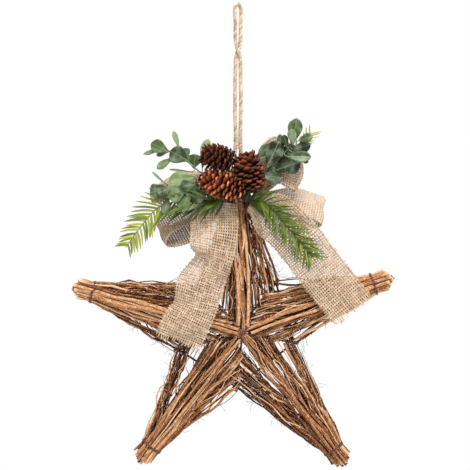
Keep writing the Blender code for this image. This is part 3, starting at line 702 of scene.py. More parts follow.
def bowed(start, heading, reach, sideways, step):
    """A line from a start along a heading, with its middle moved sideways."""
    return smooth_line([start, start + heading * reach * 0.5 + sideways, start + heading * reach], step)


# %% Measure a quarter of an arm


def quarter_of(index, face, way):
    """The places and directions of a quarter. face is -1 in front; way is 1 anticlockwise of the arm."""
    end, inward, across, outward = arm_axes(index, face)
    corner = corner_point(CORNERS[index if way > 0 else index - 1]) + outward * VALLEY_DEPTH
    hub = hub_point(face, HUB_DEPTH - 2 * MM)
    tie = end + inward * TIE_INSET
    normal = unit(np.cross(hub - tie, corner - tie))
    normal = normal * math.copysign(1, normal @ outward)
    return types.SimpleNamespace(name=ARMS[index][0], parting=PARTINGS[ARMS[index][0], way], end=end, tie=tie,
                                 hub=hub, corner=corner, inward=inward, across=across * way,
                                 outward=outward, normal=normal)


def turned_at_random(rng):
    return rng.uniform(0, 6.28)


# %% [markdown]
# The long twigs carry the shape. They start beyond the tie, lie side by side in three layers, and end at the
# line between the hub and the corner, most of them cut, some running past it.

# %% Fan out the long twigs


def long_twigs(quarter, rng):
    """The twigs of a fan, from its ridge to its valley."""
    end, tie, hub, corner = quarter.end, quarter.tie, quarter.hub, quarter.corner
    inward, across, outward, normal = quarter.inward, quarter.across, quarter.outward, quarter.normal
    twigs = []
    for k in range(TWIGS_PER_FAN):
        share = parted((k + 0.5) / TWIGS_PER_FAN, quarter.parting)
        radius = rng.choice(THICKNESSES) * rng.uniform(0.9, 1.1) * MM
        layer = LAYERS[k % len(LAYERS)]
        reach = max(BUNDLE_WAIST / 2 - radius - layer * 3.0 * MM, 1.5 * MM)
        angle = math.radians(90) * min(1.0, max(0.0, share + rng.gauss(0, 0.10)))
        spread = outward * math.cos(angle) + across * math.sin(angle)
        shorter = rng.uniform(-2.5, 2.5) + (4.5, 1.5, 0.0)[layer]
        tip = end + inward * (shorter - 1.5 + 4.5 * math.sin(angle) ** 2) * MM
        tip = tip + spread * reach * rng.uniform(0.85, 1.20)
        waist = tie + spread * reach
        goal = mix(hub, corner, min(1.0, mix(0.05, 1.0, share) + rng.uniform(-0.05, 0.05)))
        goal = goal - normal * (layer * LAYER_DEPTH + rng.uniform(0, 1.4) * MM)
        past = rng.uniform(-6, 8) * MM + 5 * MM * max(0.0, share - 0.7)
        goal = goal + unit(goal - waist) * past + outward * max(0.0, past) * share * rng.uniform(0.3, 1.0)
        between = straying(waist, goal, 5, 1.9 * MM, across, normal, rng)
        line = smooth_line([tip, waist] + between + [goal], 0.010)
        # deeper layers get darker tones, painted shade under the twigs above them, and each arm's painted
        # light or painted shade is added
        tone = min(1.0, max(0.0, rng.gauss(0.66 - 0.26 * layer, 0.24) + ARM_PAINTED_LIGHT[quarter.name]))
        twigs.append(bent_copy(rng.choice(masters), line, radius, radius * rng.uniform(0.55, 0.95), tone,
                               turned_at_random(rng), CUT_END_WEAR_AND_SHADE[quarter.name]))
    return twigs


# %% [markdown]
# Over them stray the small ones, which make the sheaf look grown: thin shoots that keep to the arm, short
# spurs that branch off it, and fine root hairs along the valley.

# %% Scatter the small twigs


def shoots(quarter, rng):
    """Thin shoots over the long twigs, from the tie or farther in to the hub and the corner."""
    tie, hub, corner = quarter.tie, quarter.hub, quarter.corner
    across, outward, normal = quarter.across, quarter.outward, quarter.normal
    twigs = []
    for _ in range(SHOOTS_PER_FAN):
        share = parted(rng.random(), quarter.parting)
        root = mix(tie, mix(hub, corner, share), rng.uniform(-0.05, 0.55)) + outward * 4 * MM
        goal = mix(hub, corner, min(1.05, max(0.0, share + rng.uniform(-0.10, 0.10))))
        past = rng.uniform(-12, 10) * MM
        goal = goal + normal * rng.uniform(-0.5, 1.3) * MM + unit(goal - root) * past
        goal = goal + outward * max(0.0, past) * share
        between = straying(root, goal, 6, 2.6 * MM, across, normal, rng)
        line = smooth_line([root] + [point + normal * MM for point in between] + [goal], 0.008)
        twigs.append(bent_copy(rng.choice(masters), line, rng.uniform(0.5, 0.95) * MM, 0.35 * MM,
                               rng.uniform(0.1, 1.0), turned_at_random(rng)))
    return twigs


def spurs(quarter, rng):
    """Short side shoots that stand off their twig."""
    tie, hub, corner, normal = quarter.tie, quarter.hub, quarter.corner, quarter.normal
    twigs = []
    for _ in range(SPURS_PER_FAN):
        goal = mix(hub, corner, parted(rng.random(), quarter.parting))
        start = mix(tie, goal, rng.uniform(0.1, 0.9)) + normal * rng.uniform(0.5, 2.2) * MM
        heading = unit(unit(goal - tie) + unit(corner - hub) * rng.gauss(0, 0.35)
                       + normal * rng.uniform(-0.1, 0.15))
        reach = rng.uniform(9, 26) * MM
        bow = unit(np.cross(heading, normal)) * reach * rng.uniform(-0.12, 0.12)
        line = bowed(start, heading, reach, bow, 0.004)
        twigs.append(bent_copy(rng.choice(masters), line, rng.uniform(0.45, 0.85) * MM, 0.25 * MM,
                               rng.uniform(0.0, 1.0), turned_at_random(rng)))
    return twigs


def root_hairs(quarter, rng):
    """Fine hairs along the valley, as one piece."""
    inward, across, outward = quarter.inward, quarter.across, quarter.outward
    hairs = []
    for _ in range(HAIRS_PER_FAN):
        root = mix(quarter.tie, quarter.corner, rng.uniform(0.15, 1.0)) + across * 1.5 * MM
        heading = unit(across * rng.uniform(0.3, 1.0) + inward * rng.uniform(-1.0, 1.6)
                       + outward * rng.uniform(-0.6, 0.6))
        reach = rng.uniform(5, 15) * MM
        bow = unit(np.cross(heading, outward)) * reach * rng.uniform(-0.25, 0.25)
        hairs.append(tube(bowed(root, heading, reach, bow, 0.002), 0.16 * MM, 3, rng.uniform(0.1, 0.6)))
    return mesh_piece("root hairs", hairs, bark)


# %% [markdown]
# The thickest twigs lie on the ridge of an arm, nearly straight, two to a face and three on the top arm. Then
# the four fans and the two ridges of an arm are joined, because the whole sheaf is one finish on one body.

# %% Lay the ridges and join the arms
RIDGE_SPREAD = 0.40
RIDGE_PITCH = 4.6 * MM


def ridge(index, face, rng):
    """The thick twigs along the ridge of an arm."""
    name = ARMS[index][0]
    end, inward, across, outward = arm_axes(index, face)
    twigs = []
    for place in (-1.2, -0.1, 0.9) if name == "top" else (-0.6, 0.4):
        radius = rng.uniform(1.4, 2.1) * MM
        angle = RIDGE_SPREAD * place
        spread = outward * math.cos(angle) + across * math.sin(angle)
        reach = BUNDLE_WAIST / 2 - radius * 0.8
        tip = end + inward * rng.uniform(-1.0, 4.0) * MM + spread * reach * 1.15
        waist = end + inward * TIE_INSET + spread * reach
        goal = hub_point(face, HUB_DEPTH - 1.4 * radius) + across * place * RIDGE_PITCH
        goal = goal + inward * rng.uniform(-9, 5) * MM
        between = straying(waist, goal, 5, 1.6 * MM, across, outward, rng)
        line = smooth_line([tip, waist] + between + [goal], 0.010)
        # each arm's painted light or painted shade shifts the tone of its ridge twigs
        twigs.append(bent_copy(masters[rng.randrange(2)], line, radius, radius * 0.9,
                               rng.uniform(0.45, 0.85) + ARM_PAINTED_LIGHT[name], turned_at_random(rng),
                               CUT_END_WEAR_AND_SHADE[name]))
    return twigs


for index, (name, _, _) in enumerate(ARMS):
    rng = random.Random(40 + index)
    twigs = []
    for face in (-1, 1):
        twigs += ridge(index, face, rng)
        for way in (1, -1):
            quarter = quarter_of(index, face, way)
            twigs += long_twigs(quarter, rng) + shoots(quarter, rng) + spurs(quarter, rng)
            twigs.append(root_hairs(quarter, rng))
    arm = joined(f"twig_arm_{name}", twigs)
    dress(arm, [f"twigs_{name}_{row}_{half}" for row in ("front", "back") for half in "ab"])
for master in masters:
    bpy.data.objects.remove(master)

# %% [markdown]
# ## Wire
# Two kinds of wire hold the star. The frame is 3 mm steel rod, painted satin black, and it shows only between
# the twigs. The ties are thin annealed binding wire, dark reddish brown, wound several times round each
# bundle and twisted off. Wire is a curve with a round bevel, made into a mesh when its line is right.
# The satin paint shines softly and broadly, and the annealed wire hardly at all.

# %% The two wire finishes
black_paint, node = new_material("satin black painted steel", "#17171A", 0.42)
# the paint is thicker and thinner in soft patches 4 mm wide
chips = node("TexNoise", node("TexCoord", output="Object"), Scale=260, Detail=4)
coat(black_paint, roughness=node("MapRange", chips, 0.0, 1.0, 0.32, 0.62),
     normal=node("Bump", Strength=0.25, Distance=0.0002, Height=chips))

binding, node = new_material("annealed binding wire", "#5A3228", 0.5, metallic=0.4)
# brown scale from the annealing, in spots of 1.4 mm
spots = node("TexNoise", node("TexCoord", output="Object"), Scale=700, Detail=3)
coat(binding, node("ValToRGB", spots, stops=[(0.35, "#3A1E16"), (0.7, "#7A4636")]))

# %% Bend wires


def bent_wire(name, lines, diameter, material):
    """Wires along lines, as one mesh."""
    curve = bpy.data.curves.new(name, "CURVE")
    curve.dimensions = "3D"
    curve.bevel_depth = diameter / 2
    curve.bevel_resolution = 1
    curve.use_fill_caps = True
    for line in lines:
        spline = curve.splines.new("POLY")
        spline.points.add(len(line) - 1)
        for point, at in zip(spline.points, line):
            point.co = (*at, 1)
    curve.materials.append(material)
    select_only(in_scene(name, curve))
    bpy.ops.object.convert(target="MESH")
    bpy.ops.object.shade_smooth_by_angle(angle=math.radians(60))
    return bpy.context.object


TWIST_HALF_TURNS = 5
TWIST_RADIUS = 0.00055
TWIST_CURL = 0.003


def twisted_ends(start, way, across, reach):
    """Two wire ends twisted round each other, from a start along a way."""
    way = unit(way)
    across = unit(across - way * (across @ way))
    up = np.cross(way, across)
    t = np.linspace(0, 1, 25)[:, None]
    lines = []
    for phase in (0, math.pi):
        angle = t * TWIST_HALF_TURNS * math.pi + phase
        round_line = np.cos(angle) * across + np.sin(angle) * up
        lines.append(start + way * t * reach + t**2 * across * TWIST_CURL + round_line * TWIST_RADIUS)
    return lines


# %% Weld the frame
SPOKE_TIP_DEPTH = WIRE_DIAMETER / 2 + GAP / 2
SPOKE_CORNER_DEPTH = WIRE_DIAMETER + GAP
FRAME_ROD = 0.85 * WIRE_DIAMETER
inner_corners = [corner_point(corner, CORNER_INSET) for corner in CORNERS]
spokes = []
for face in (-1, 1):
    hub = hub_point(face, HUB_DEPTH - FRAME_SINK)
    for index, inner_corner in enumerate(inner_corners):
        end, inward, _, outward = arm_axes(index, face)
        spokes.append([hub, end + inward * TIE_INSET + outward * SPOKE_TIP_DEPTH])
        spokes.append([hub, inner_corner + outward * SPOKE_CORNER_DEPTH])
spokes += [[inner_corners[k - 1], inner_corners[k]] for k in range(len(ARMS))]
frame_wires = bent_wire("frame_wires", spokes, FRAME_ROD, black_paint)
dress(frame_wires, ["frame_front", "frame_back"] + [f"frame_link_{arm[0]}" for arm in ARMS])

# %% Wind the ties
TIE_WIRE = 0.0012
TIE_TURNS = 2.3
TIE_CLEARANCE = 0.0005
HUB_TIE_RISE = 0.3 * MM


def wind_tie(name, lines, girth):
    wire = bent_wire(f"binding_{name}", lines, girth * TIE_WIRE, binding)
    dress(wire, [f"tie_{name}"])


for index, (name, _, _) in enumerate(ARMS):
    rng = random.Random(70 + index)
    end, inward, across, _ = arm_axes(index, -1)
    centre = end + inward * TIE_INSET
    t = np.linspace(0, 1, 96)[:, None]
    angle = t * TIE_TURNS * 2 * math.pi
    radius = BUNDLE_WAIST / 2 + TIE_CLEARANCE + 0.0002 * np.sin(angle * 1.7 + index)
    shift = (t - 0.5) * 0.0024 + 0.0004 * np.sin(angle * 0.9 + index)
    coil = centre + inward * shift + (FRONT * np.cos(angle) + across * np.sin(angle)) * radius
    knot = centre + FRONT * (BUNDLE_WAIST / 2 + 2 * TIE_CLEARANCE)
    way = across * rng.choice((-1, 1)) + inward * rng.uniform(-0.6, 0.6)
    wind_tie(name, [coil] + twisted_ends(knot, way, inward, 0.007), 0.7)
for corner in CORNERS:
    outward = bearing_vector(corner[1])
    across = bearing_vector(corner[1] + 90)
    angle = np.linspace(math.radians(-100), math.radians(100), 15)[:, None]
    turns = []
    for k in range(3):
        centre = corner_point(corner, CORNER_INSET) + across * (k - 1) * 1.1 * MM
        turns.append(centre + outward * np.cos(angle) * (4.6 + 0.3 * k) * MM
                     + FRONT * np.sin(angle) * (9.6 + 0.3 * k) * MM + across * angle * 0.5 * MM)
    wind_tie(f"corner_{corner[0]}", turns, 0.8)
for face, row in ((-1, "front"), (1, "back")):
    outward = np.array((0.0, face, 0.0))
    hub = hub_point(face, HUB_DEPTH)
    valleys = [unit(corner_point(corner) + outward * VALLEY_DEPTH - hub) for corner in CORNERS]
    crossings = []
    for k, first in enumerate(valleys):
        other = valleys[(k + 2) % 5]
        rise = outward * HUB_TIE_RISE
        crossings.append(smooth_line([
            hub + first * 14 * MM, hub + first * 5 * MM + rise, hub + outward * (0.6 + 0.25 * k) * MM,
            hub + other * 5 * MM + rise, hub + other * 14 * MM], 0.0015))
    crossings += twisted_ends(hub + outward * 1.2 * MM, np.array((0.8, 0.25 * face, 0.5)), UP, 0.008)
    wind_tie(f"hub_{row}", crossings, 1.1)

# %% [markdown]
# ## Burlap
# Burlap is a plain weave of thick jute yarn, a thread every 2.3 to 3 mm, so open that the twigs show through
# it. A flat strip with a picture of holes would look thin at its edge. Here every thread is there: the warp
# runs along the ribbon, the weft across it, and each goes over one and under the next.
# The yarn is matt and uneven in width and colour, and at the cut ends the warp frays.

# %% The burlap finish
burlap, node = new_material("natural jute burlap", "#BFA27F", 0.93, specular=0.15, ior=1.46, sheen=0.2)
lay = node("Attribute", attribute_name="lay", output="Vector")
tone = node("Attribute", attribute_name="tone", output="Fac")
# fibres of about 0.1 mm are drawn 0.4 mm wide and 3 mm long, and slubs come every 11 mm
fibres = node("TexNoise", node("Mapping", lay, Scale=(1, 1, 0.12)), Scale=2600, Detail=2)
slubs = node("TexNoise", lay, Scale=90, Detail=2)
varied = node("Math", fibres, 0.4, slubs, operation="MULTIPLY_ADD")
toned = node("Math", tone, 0.14, varied, operation="MULTIPLY_ADD")
colours = node("ValToRGB", toned, stops=[(0.45, "#745A43"), (0.72, "#9F866D"), (0.90, "#B6A18A")])
coat(burlap, colours, normal=node("Bump", Strength=0.5, Distance=0.0002, Height=fibres))

# %% Weave a strip
WARP_PITCH = 0.00245
WEFT_PITCH = 0.00285
THREAD_FILL = 0.575
THREAD_HALF_DEPTH = 0.00024
WEAVE_HEIGHT = 0.00030
WARP_SWAY = 0.00013
WEFT_SWAY = 0.00015
LOOSE_END_STEPS = (0.0006, 0.0019)
LOOSE_END_CURL = 90


def woven(name, surface, length, width, seed, frayed=False, painted_light_lift=0.0):
    """A plain weave on a surface. surface(u, v) takes metres along and shares across, and gives points."""
    rng = np.random.default_rng(seed)
    rows = round(length / WEFT_PITCH)
    columns = round(width / WARP_PITCH)
    u = np.linspace(0, length, 2 * rows + 1)
    v = np.linspace(-0.5, 0.5, 2 * columns + 1)
    grid = surface(u[:, None], v[None, :])
    run = np.gradient(grid, axis=0)
    cross = np.gradient(grid, axis=1)
    normal = unit(np.cross(run, cross))
    wave_u, wave_v = (WEAVE_HEIGHT * np.sin(math.pi * np.arange(len(steps)) / 2)[:, None] for steps in (u, v))
    shapes = []

    def thread(points, normals, pitch):
        # the lift adds painted light to every thread of the strip
        tone = rng.random() + painted_light_lift
        along = unit(np.gradient(points, axis=0))
        side = unit(np.cross(normals, along))
        knees = np.arange(0, len(points) + 6, 6)
        uneven = np.interp(np.arange(len(points)), knees, rng.uniform(0.87, 1.13, len(knees)))
        # a six-cornered thread is as wide as the square root of three times this half width
        half_width = THREAD_FILL * pitch / math.sqrt(3)
        shapes.append(strand(points, side, np.cross(along, side), half_width * uneven,
                             THREAD_HALF_DEPTH * np.sqrt(uneven), 6, tone))

    for j in range(columns):
        m = 2 * j + 1
        sway = np.interp(u, np.linspace(0, length, 9), rng.normal(0, WARP_SWAY, 9))[:, None]
        normals = normal[:, m]
        points = grid[:, m] + normals * wave_u * (-1) ** j + unit(cross[:, m]) * sway
        if frayed:
            away = unit(points[-1] - points[-3])
            curl = unit(cross[-1, m]) * rng.normal(0, 0.25) + normals[-1] * rng.normal(0, 0.25)
            steps = np.arange(1, 5)[:, None] * rng.uniform(*LOOSE_END_STEPS)
            points = np.vstack([points, points[-1] + away * steps + curl * steps**2 * LOOSE_END_CURL])
            normals = np.vstack([normals, np.repeat(normals[-1:], 4, axis=0)])
        thread(points, normals, WARP_PITCH)
    for r in range(rows):
        i = 2 * r + 1
        sway = np.interp(v, np.linspace(-0.5, 0.5, 5), rng.normal(0, WEFT_SWAY, 5))[:, None]
        points = grid[i] - normal[i] * wave_v * (-1) ** r + unit(run[i]) * sway
        points[0] += unit(points[0] - points[2]) * rng.uniform(-0.4, 1.3) * MM
        points[-1] += unit(points[-1] - points[-3]) * rng.uniform(-0.4, 1.3) * MM
        thread(points, normal[i], WEFT_PITCH)
    print(name, columns, "by", rows, "threads")
    return mesh_piece(name, shapes, burlap)


# %% Hang a woven strip


def hang_cloth(name, surface, length, seed, frayed=False, painted_light_lift=0.0):
    piece = woven(f"ribbon_{name}", surface, length, RIBBON_WIDTH, seed, frayed, painted_light_lift)
    dress(piece, [f"bow_{name}"])


def spread_out(length, u, *lists):
    """Lists at even shares of a length, each read at places u along it and ready to spread across."""
    return [read_at(u[:, 0], np.linspace(0, length, len(values)), values)[:, None] for values in lists]


# %% [markdown]
# ## The bow
# The bow has two loops on each side and two long tails, all of 50 mm ribbon, gathered by a knot over the
# rope. A loop goes out, turns over at its end and comes back. Near the knot the cloth is pinched to a
# quarter of its width and stands up in pleats.

# %% The bow's places, as in the model
TIE_OUTER_RADIUS = BUNDLE_WAIST / 2 + GAP + TIE_WIRE
RIBBON_WIDTH = 0.050
RIBBON_THICKNESS = 0.0012
KNOT_WIDTH = 0.022
KNOT_HEIGHT = 0.022
KNOT_DEPTH = 0.012
KNOT_BACK = TIE_OUTER_RADIUS + 2 * GAP
KNOT_FRONT = KNOT_BACK + KNOT_DEPTH
KNOT = np.array((0, -(KNOT_BACK + KNOT_DEPTH / 2), -(ROPE_DROP + 0.0250)))
LOOP_LENGTH = 0.088
LOOP_HEIGHT = 0.026
LOOP_PINCH = 0.24
LOOP_TILT = math.radians(34)
STEM_DIAMETER = 0.0018
NEAR_EDGE = KNOT_FRONT - RIBBON_THICKNESS - GAP - STEM_DIAMETER / 2
print("knot", KNOT.round(4), "its front at", round(KNOT_FRONT, 4))

# %% Bend the four loops
PLEAT_HEIGHT = 0.0032
PLEATS = 2.5
RIPPLE_HEIGHT = 0.0009
RIPPLE_LENGTH = 0.055


def bow_loop(name, start, out, across, length, height, arch, seed, square=1.0, opened=0.65, painted_light_lift=0.0,
             rounded=0.0):
    """A ribbon loop from the knot, out and back, with its end square to its run or, at 0, along across.

    It has its full width at the share opened of its length, and its far corners draw back by rounded.
    """
    out = unit(out)
    across = unit(across)
    across = unit(across - out * (across @ out) * square)
    lift = unit(np.cross(out, across))
    centres, spreads = [], []
    for turn in math.pi * np.linspace(0.035, 0.965, 89):
        reach = math.sin(turn)
        offset = height / 2 * math.sin(2 * turn)
        spread = smoothstep(reach / opened)
        centre = start + out * length * reach + lift * offset
        centre[2] += arch * math.sin(math.pi * reach) ** 2
        wide_y = (abs(across[1]) * RIBBON_WIDTH + abs(lift[1]) * height) / 2 - NEAR_EDGE
        centre[1] = mix(start[1], wide_y, spread) + lift[1] * offset
        centres.append(centre)
        spreads.append(spread)
    total = line_length(centres)
    even = np.linspace(0, total, 160)
    travelled = distances(centres)
    spreads = read_at(even, travelled, spreads)
    centres = read_at(even, travelled, centres)
    ups = unit(np.cross(across, unit(np.gradient(centres, axis=0))))
    far = np.clip((centres - start) @ out / length, 0, 1) ** 4

    def surface(u, v):
        at, up, draw, spread = spread_out(total, u, centres, ups, far, spreads)
        pleat = (1 - spread) * PLEAT_HEIGHT * np.cos(2 * math.pi * PLEATS * (v + 0.5) + seed)
        ripple = spread * RIPPLE_HEIGHT * np.sin(2 * math.pi * (u / RIPPLE_LENGTH + 1.1 * v) + seed)
        wide = RIBBON_WIDTH * mix(LOOP_PINCH, 1.0, spread)
        at = at - out * (rounded * draw * np.abs(2 * v) ** 3)[..., None]
        return at + across * (wide * v)[..., None] + up * (pleat + ripple)[..., None]

    hang_cloth(f"loop_{name}", surface, total, seed, painted_light_lift=painted_light_lift)


def leaning(angle):
    """A direction across the ribbon, from straight back towards the top."""
    return np.array((0, math.cos(angle), math.sin(angle)))


right_root = np.array((KNOT_WIDTH / 4, KNOT[1] + 0.0015, KNOT[2]))
left_root = right_root * (-1, 1, 1)
bow_loop("left_upper", left_root + (0, 0, 0.001), (-1, 0, -0.07), leaning(0.5 * LOOP_TILT),
         LOOP_LENGTH, 0.38 * LOOP_HEIGHT, 0.013, 1)
bow_loop("left_lower", left_root + (0, 0, -0.006), (-1, 0, -0.55), leaning(LOOP_TILT),
         LOOP_LENGTH, 0.78 * LOOP_HEIGHT, 0.0, 2)
# the two right loops get painted light: their threads are paler, as where the lamp falls on them
bow_loop("right_lower", right_root + (0, 0, -0.006), (1, 0, -0.21), leaning(LOOP_TILT),
         LOOP_LENGTH, 0.60 * LOOP_HEIGHT, 0.0, 3, painted_light_lift=1.5)
bow_loop("right_upper", right_root + (0.005, 0, 0.006), (1, 0, 0.36), (-0.07, 0, 1),
         0.70 * LOOP_LENGTH, 0.7 * LOOP_HEIGHT, 0.015, 4, square=0.0, opened=0.30, painted_light_lift=0.3, rounded=0.009)

# %% [markdown]
# A tail comes out from under the knot in pleats, opens to its full width over 27 mm and waves down over the
# twigs. The left one rolls its outer edge in at two places. Their cut ends fray.

# %% Hang the tails
TAIL_TOP = KNOT[2] - KNOT_HEIGHT / 2 - 2 * GAP
TAIL_FRONT = KNOT_FRONT + 0.004
TAIL_OPENING = 0.027
TAIL_WAVE_LENGTH = 0.052
TAIL_WAVE_START = 0.04
TAIL_PLEAT_HEIGHT = 0.0022
TAIL_PLEATS = 2


def bow_tail(name, points, first_width, seed, rolls=(), wave_height=0.0022):
    """A ribbon end from the knot down over the star, through points of X, drop and depth in millimetres.

    Each roll is a place along, a half length and how far the outer edge turns in there.
    """
    route = [(x * MM, -(TAIL_FRONT + depth * MM), TAIL_TOP - drop * MM) for x, drop, depth in points]
    centres = smooth_line(route, 0.002)
    total = line_length(centres)
    along = unit(np.gradient(centres, axis=0))
    sides = unit(np.cross(along, (0, 1, 0)))
    ups = unit(np.cross(sides, along))
    spreads = [smoothstep(t / TAIL_OPENING) for t in np.linspace(0, total, len(centres))]

    def surface(u, v):
        at, across, lift, spread = spread_out(total, u, centres, sides, ups, spreads)
        wave = wave_height * np.sin(2 * math.pi * (u / TAIL_WAVE_LENGTH + 0.7 * v) + seed)
        wave = wave * np.minimum(1.0, u / TAIL_WAVE_START)
        wave = wave + (1 - spread) * TAIL_PLEAT_HEIGHT * np.cos(2 * math.pi * TAIL_PLEATS * (v + 0.5))
        rolled = sum(depth * np.exp(-((u - place) / half) ** 2) for place, half, depth in rolls)
        rolled = rolled * np.clip(0.5 - v, 0, 1) ** 2 + 0 * u
        wide = RIBBON_WIDTH * mix(first_width, 1.0, spread)
        return at + across * (wide * v + rolled)[..., None] + lift * (wave + 0.8 * rolled)[..., None]

    hang_cloth(f"tail_{name}", surface, total, seed, frayed=True)


bow_tail("left", [(-23.5, 1.2, -4), (-24.5, 15, -2), (-25, 34, 2), (-29, 56, 7), (-36, 77, 0), (-42, 96, 6),
                  (-48, 115, 10), (-56, 132, 10), (-62, 146, 8)],
         0.92, 7, rolls=((0.068, 0.013, 0.010), (0.118, 0.012, 0.004)), wave_height=0.0030)
bow_tail("right", [(14, 1.2, -4), (26, 8, -2), (44, 22, 0), (64, 42, 0), (75, 57, 1), (86, 72, 3),
                   (97, 86, 0), (107, 98, 0), (119, 113, 2)], 0.45, 8)

# %% [markdown]
# The knot is a short piece of the same ribbon, wound once round the middle of the bow over the gathered
# cloth. Its folds run round it.

# %% Wind the knot
KNOT_GIRTH = 0.054
KNOT_STRIP = 0.030
KNOT_FOLD_HEIGHT = 0.0007
KNOT_FOLDS = 3


def knot_surface(u, v):
    angle = 2 * math.pi * u / KNOT_GIRTH
    fold = KNOT_FOLD_HEIGHT * np.sin(2 * math.pi * KNOT_FOLDS * v + 0.6 * np.sin(angle))
    bulge = 0.93 * (np.cos(math.pi * v * 0.75) * 0.9 + 0.1)
    x = (KNOT_WIDTH / 2 * bulge + fold) * np.cos(angle)
    y = (KNOT_DEPTH / 2 * bulge + fold) * np.sin(angle)
    return KNOT + np.stack([x, y, KNOT_HEIGHT * 0.97 * v + 0 * u], axis=-1)


knot = woven("ribbon_knot", knot_surface, KNOT_GIRTH, KNOT_STRIP, 9)
dress(knot, ["bow_knot"])

# %% [markdown]
# ## Pine cones
# A cone is a spindle with woody scales set round it in a spiral, each 137.5 degrees on from the last. One
# scale is modelled: a thin slab, narrow where it grows from the spindle and broad at the free end, with a
# thickened lip and a small knob. The copies stand out at the base of the cone and close up towards its tip.
# The scales are dry wood with a slight shine. Their colour holds painted shade, darker towards the spindle,
# and a painted highlight, paler at the lip.

# %% The cone finish
cone_wood, node = new_material("dry cone scale", "#7A3E22", 0.5, specular=0.15)
lay = node("Attribute", attribute_name="lay", output="Vector")
tone = node("Attribute", attribute_name="tone", output="Fac")
# lay holds shares of a scale, which is about 6 mm wide and 10 mm long: streaks of 0.4 by 5 mm
streaks = node("TexNoise", node("Mapping", lay, Scale=(1, 0.15, 1)), Scale=14, Detail=3)
# painted shade towards the spindle and a painted highlight at the free end of each scale
lip = node("MapRange", node("SeparateXYZ", lay, output=1), 0.35, 1.05, 0.0, 0.42)
lit = node("Math", tone, 0.50, lip, operation="MULTIPLY_ADD")
streaked = node("Math", streaks, 0.35, lit, operation="MULTIPLY_ADD")
colours = node("ValToRGB", streaked, stops=[
    (0.20, "#110302"), (0.48, "#2B0D05"), (0.72, "#592711"), (0.92, "#97502A"), (1.0, "#C98F6A")])
coat(cone_wood, colours, normal=node("Bump", Strength=0.35, Distance=0.0003, Height=streaks))

# %% Model one scale
bpy.ops.object.select_all(action="DESELECT")
bpy.ops.mesh.primitive_cube_add(size=1, location=(0, 0.5, 0))
bpy.context.object.scale = (1, 1, 0.10)
scale = into_edit_mode("scale")
cut_across(1, [0.3, 0.6, 0.85])
cut_across(0, [-0.25, 0.0, 0.25])
for height, girth, thickness in ((0.0, 0.40, 1.0), (0.3, 0.65, 0.9), (0.6, 0.92, 1.0), (0.85, 1.0, 1.4),
                                 (1.0, 0.62, 1.2)):
    stretch(scale, lambda co: abs(co.y - height) < 0.01, (girth, 1, thickness), (0, height, 0))
push(scale, lambda co: abs(co.x) > 0.3, (0, -0.10, 0.12))
push(scale, lambda co: abs(co.x) < 0.01 and co.y > 0.8, (0, 0.06, 0.05))
push(scale, lambda co: abs(co.x) < 0.3 and 0.8 < co.y < 0.95 and co.z < 0, (0, 0.02, -0.10))
out_of_edit_mode(scale, cone_wood, 40)


def placed_copy(master, origin, x_axis, y_axis, z_axis, tone):
    """A copy of a unit shape set in place by three axes that carry their sizes."""
    co = points_of(master)
    places = origin + co[:, :1] * x_axis + co[:, 1:2] * y_axis + co[:, 2:] * z_axis
    return moved_copy(master, places, tone, co + (0, 0, tone * 9.0))


# %% Set the scales round three spindles
CONE_DIAMETER = 0.028
GOLDEN_ANGLE = math.radians(137.5)


def beside_knot(x, z, depth):
    """A place in millimetres right of and above the knot's middle, and in front of its front."""
    return np.array((x * MM, -(KNOT_FRONT + depth * MM), KNOT[2] + z * MM))


def pine_cone(name, base, tip, diameter, tone_low, tone_high, seed, count):
    rng = random.Random(seed)
    base, tip = beside_knot(*base), beside_knot(*tip)
    length = float(np.linalg.norm(tip - base))
    along = (tip - base) / length
    across = unit(np.cross(along, (0, 1, 0)))
    up = np.cross(across, along)
    t = np.linspace(0.03, 0.93, 10)
    girth = diameter * (0.08 + 0.12 * np.sin(math.pi * t) ** 0.7)
    # the spindle takes the cone's darkest tone, as painted shade between the scales
    spindle = strand(base + along * (t * length)[:, None], np.tile(across, (10, 1)), np.tile(up, (10, 1)),
                     girth, girth, 10, tone_low)
    copies = [mesh_piece("spindle", [spindle], cone_wood)]
    for k in range(count):
        share = mix(0.05, 0.95, (k / (count - 1)) ** 0.92)
        out = across * math.cos(GOLDEN_ANGLE * k) + up * math.sin(GOLDEN_ANGLE * k)
        opening = math.radians(mix(100, 26, share**0.8) + rng.uniform(-8, 8))
        heading = along * math.cos(opening) + out * math.sin(opening)
        swell = math.sin(math.pi * (0.13 + 0.80 * share)) ** 0.75
        spindle_radius = diameter * (0.06 + 0.16 * swell)
        reach = (diameter / 2 * (0.25 + 0.75 * swell) - spindle_radius) / max(0.5, math.sin(opening))
        width = diameter * (0.12 + 0.11 * swell) * rng.uniform(0.85, 1.15)
        round_way = np.cross(along, out)
        face_way = np.cross(round_way, heading)
        origin = base + along * length * mix(0.04, 0.80, share) + out * spindle_radius
        copies.append(placed_copy(scale, origin, round_way * width, heading * reach * rng.uniform(0.94, 1.05),
                                  -face_way * width, rng.uniform(tone_low, tone_high)))
    dress(joined(f"pine_cone_{name}", copies), [f"cone_{name}"])


reach = CONE_DIAMETER / 2 / MM
pine_cone("dark", (-1, 28, reach), (-41, 38, reach - 2), 1.04 * CONE_DIAMETER, 0.0, 0.26, 1, 105)
pine_cone("front", (12, -5, reach + 0.5), (-45, 14, reach + 0.5), 1.10 * CONE_DIAMETER, 0.22, 0.88, 2, 130)
pine_cone("right", (17, -5, reach + 0.5), (6, 41, reach + 0.5), 1.18 * CONE_DIAMETER, 0.0, 0.52, 3, 115)
bpy.data.objects.remove(scale)

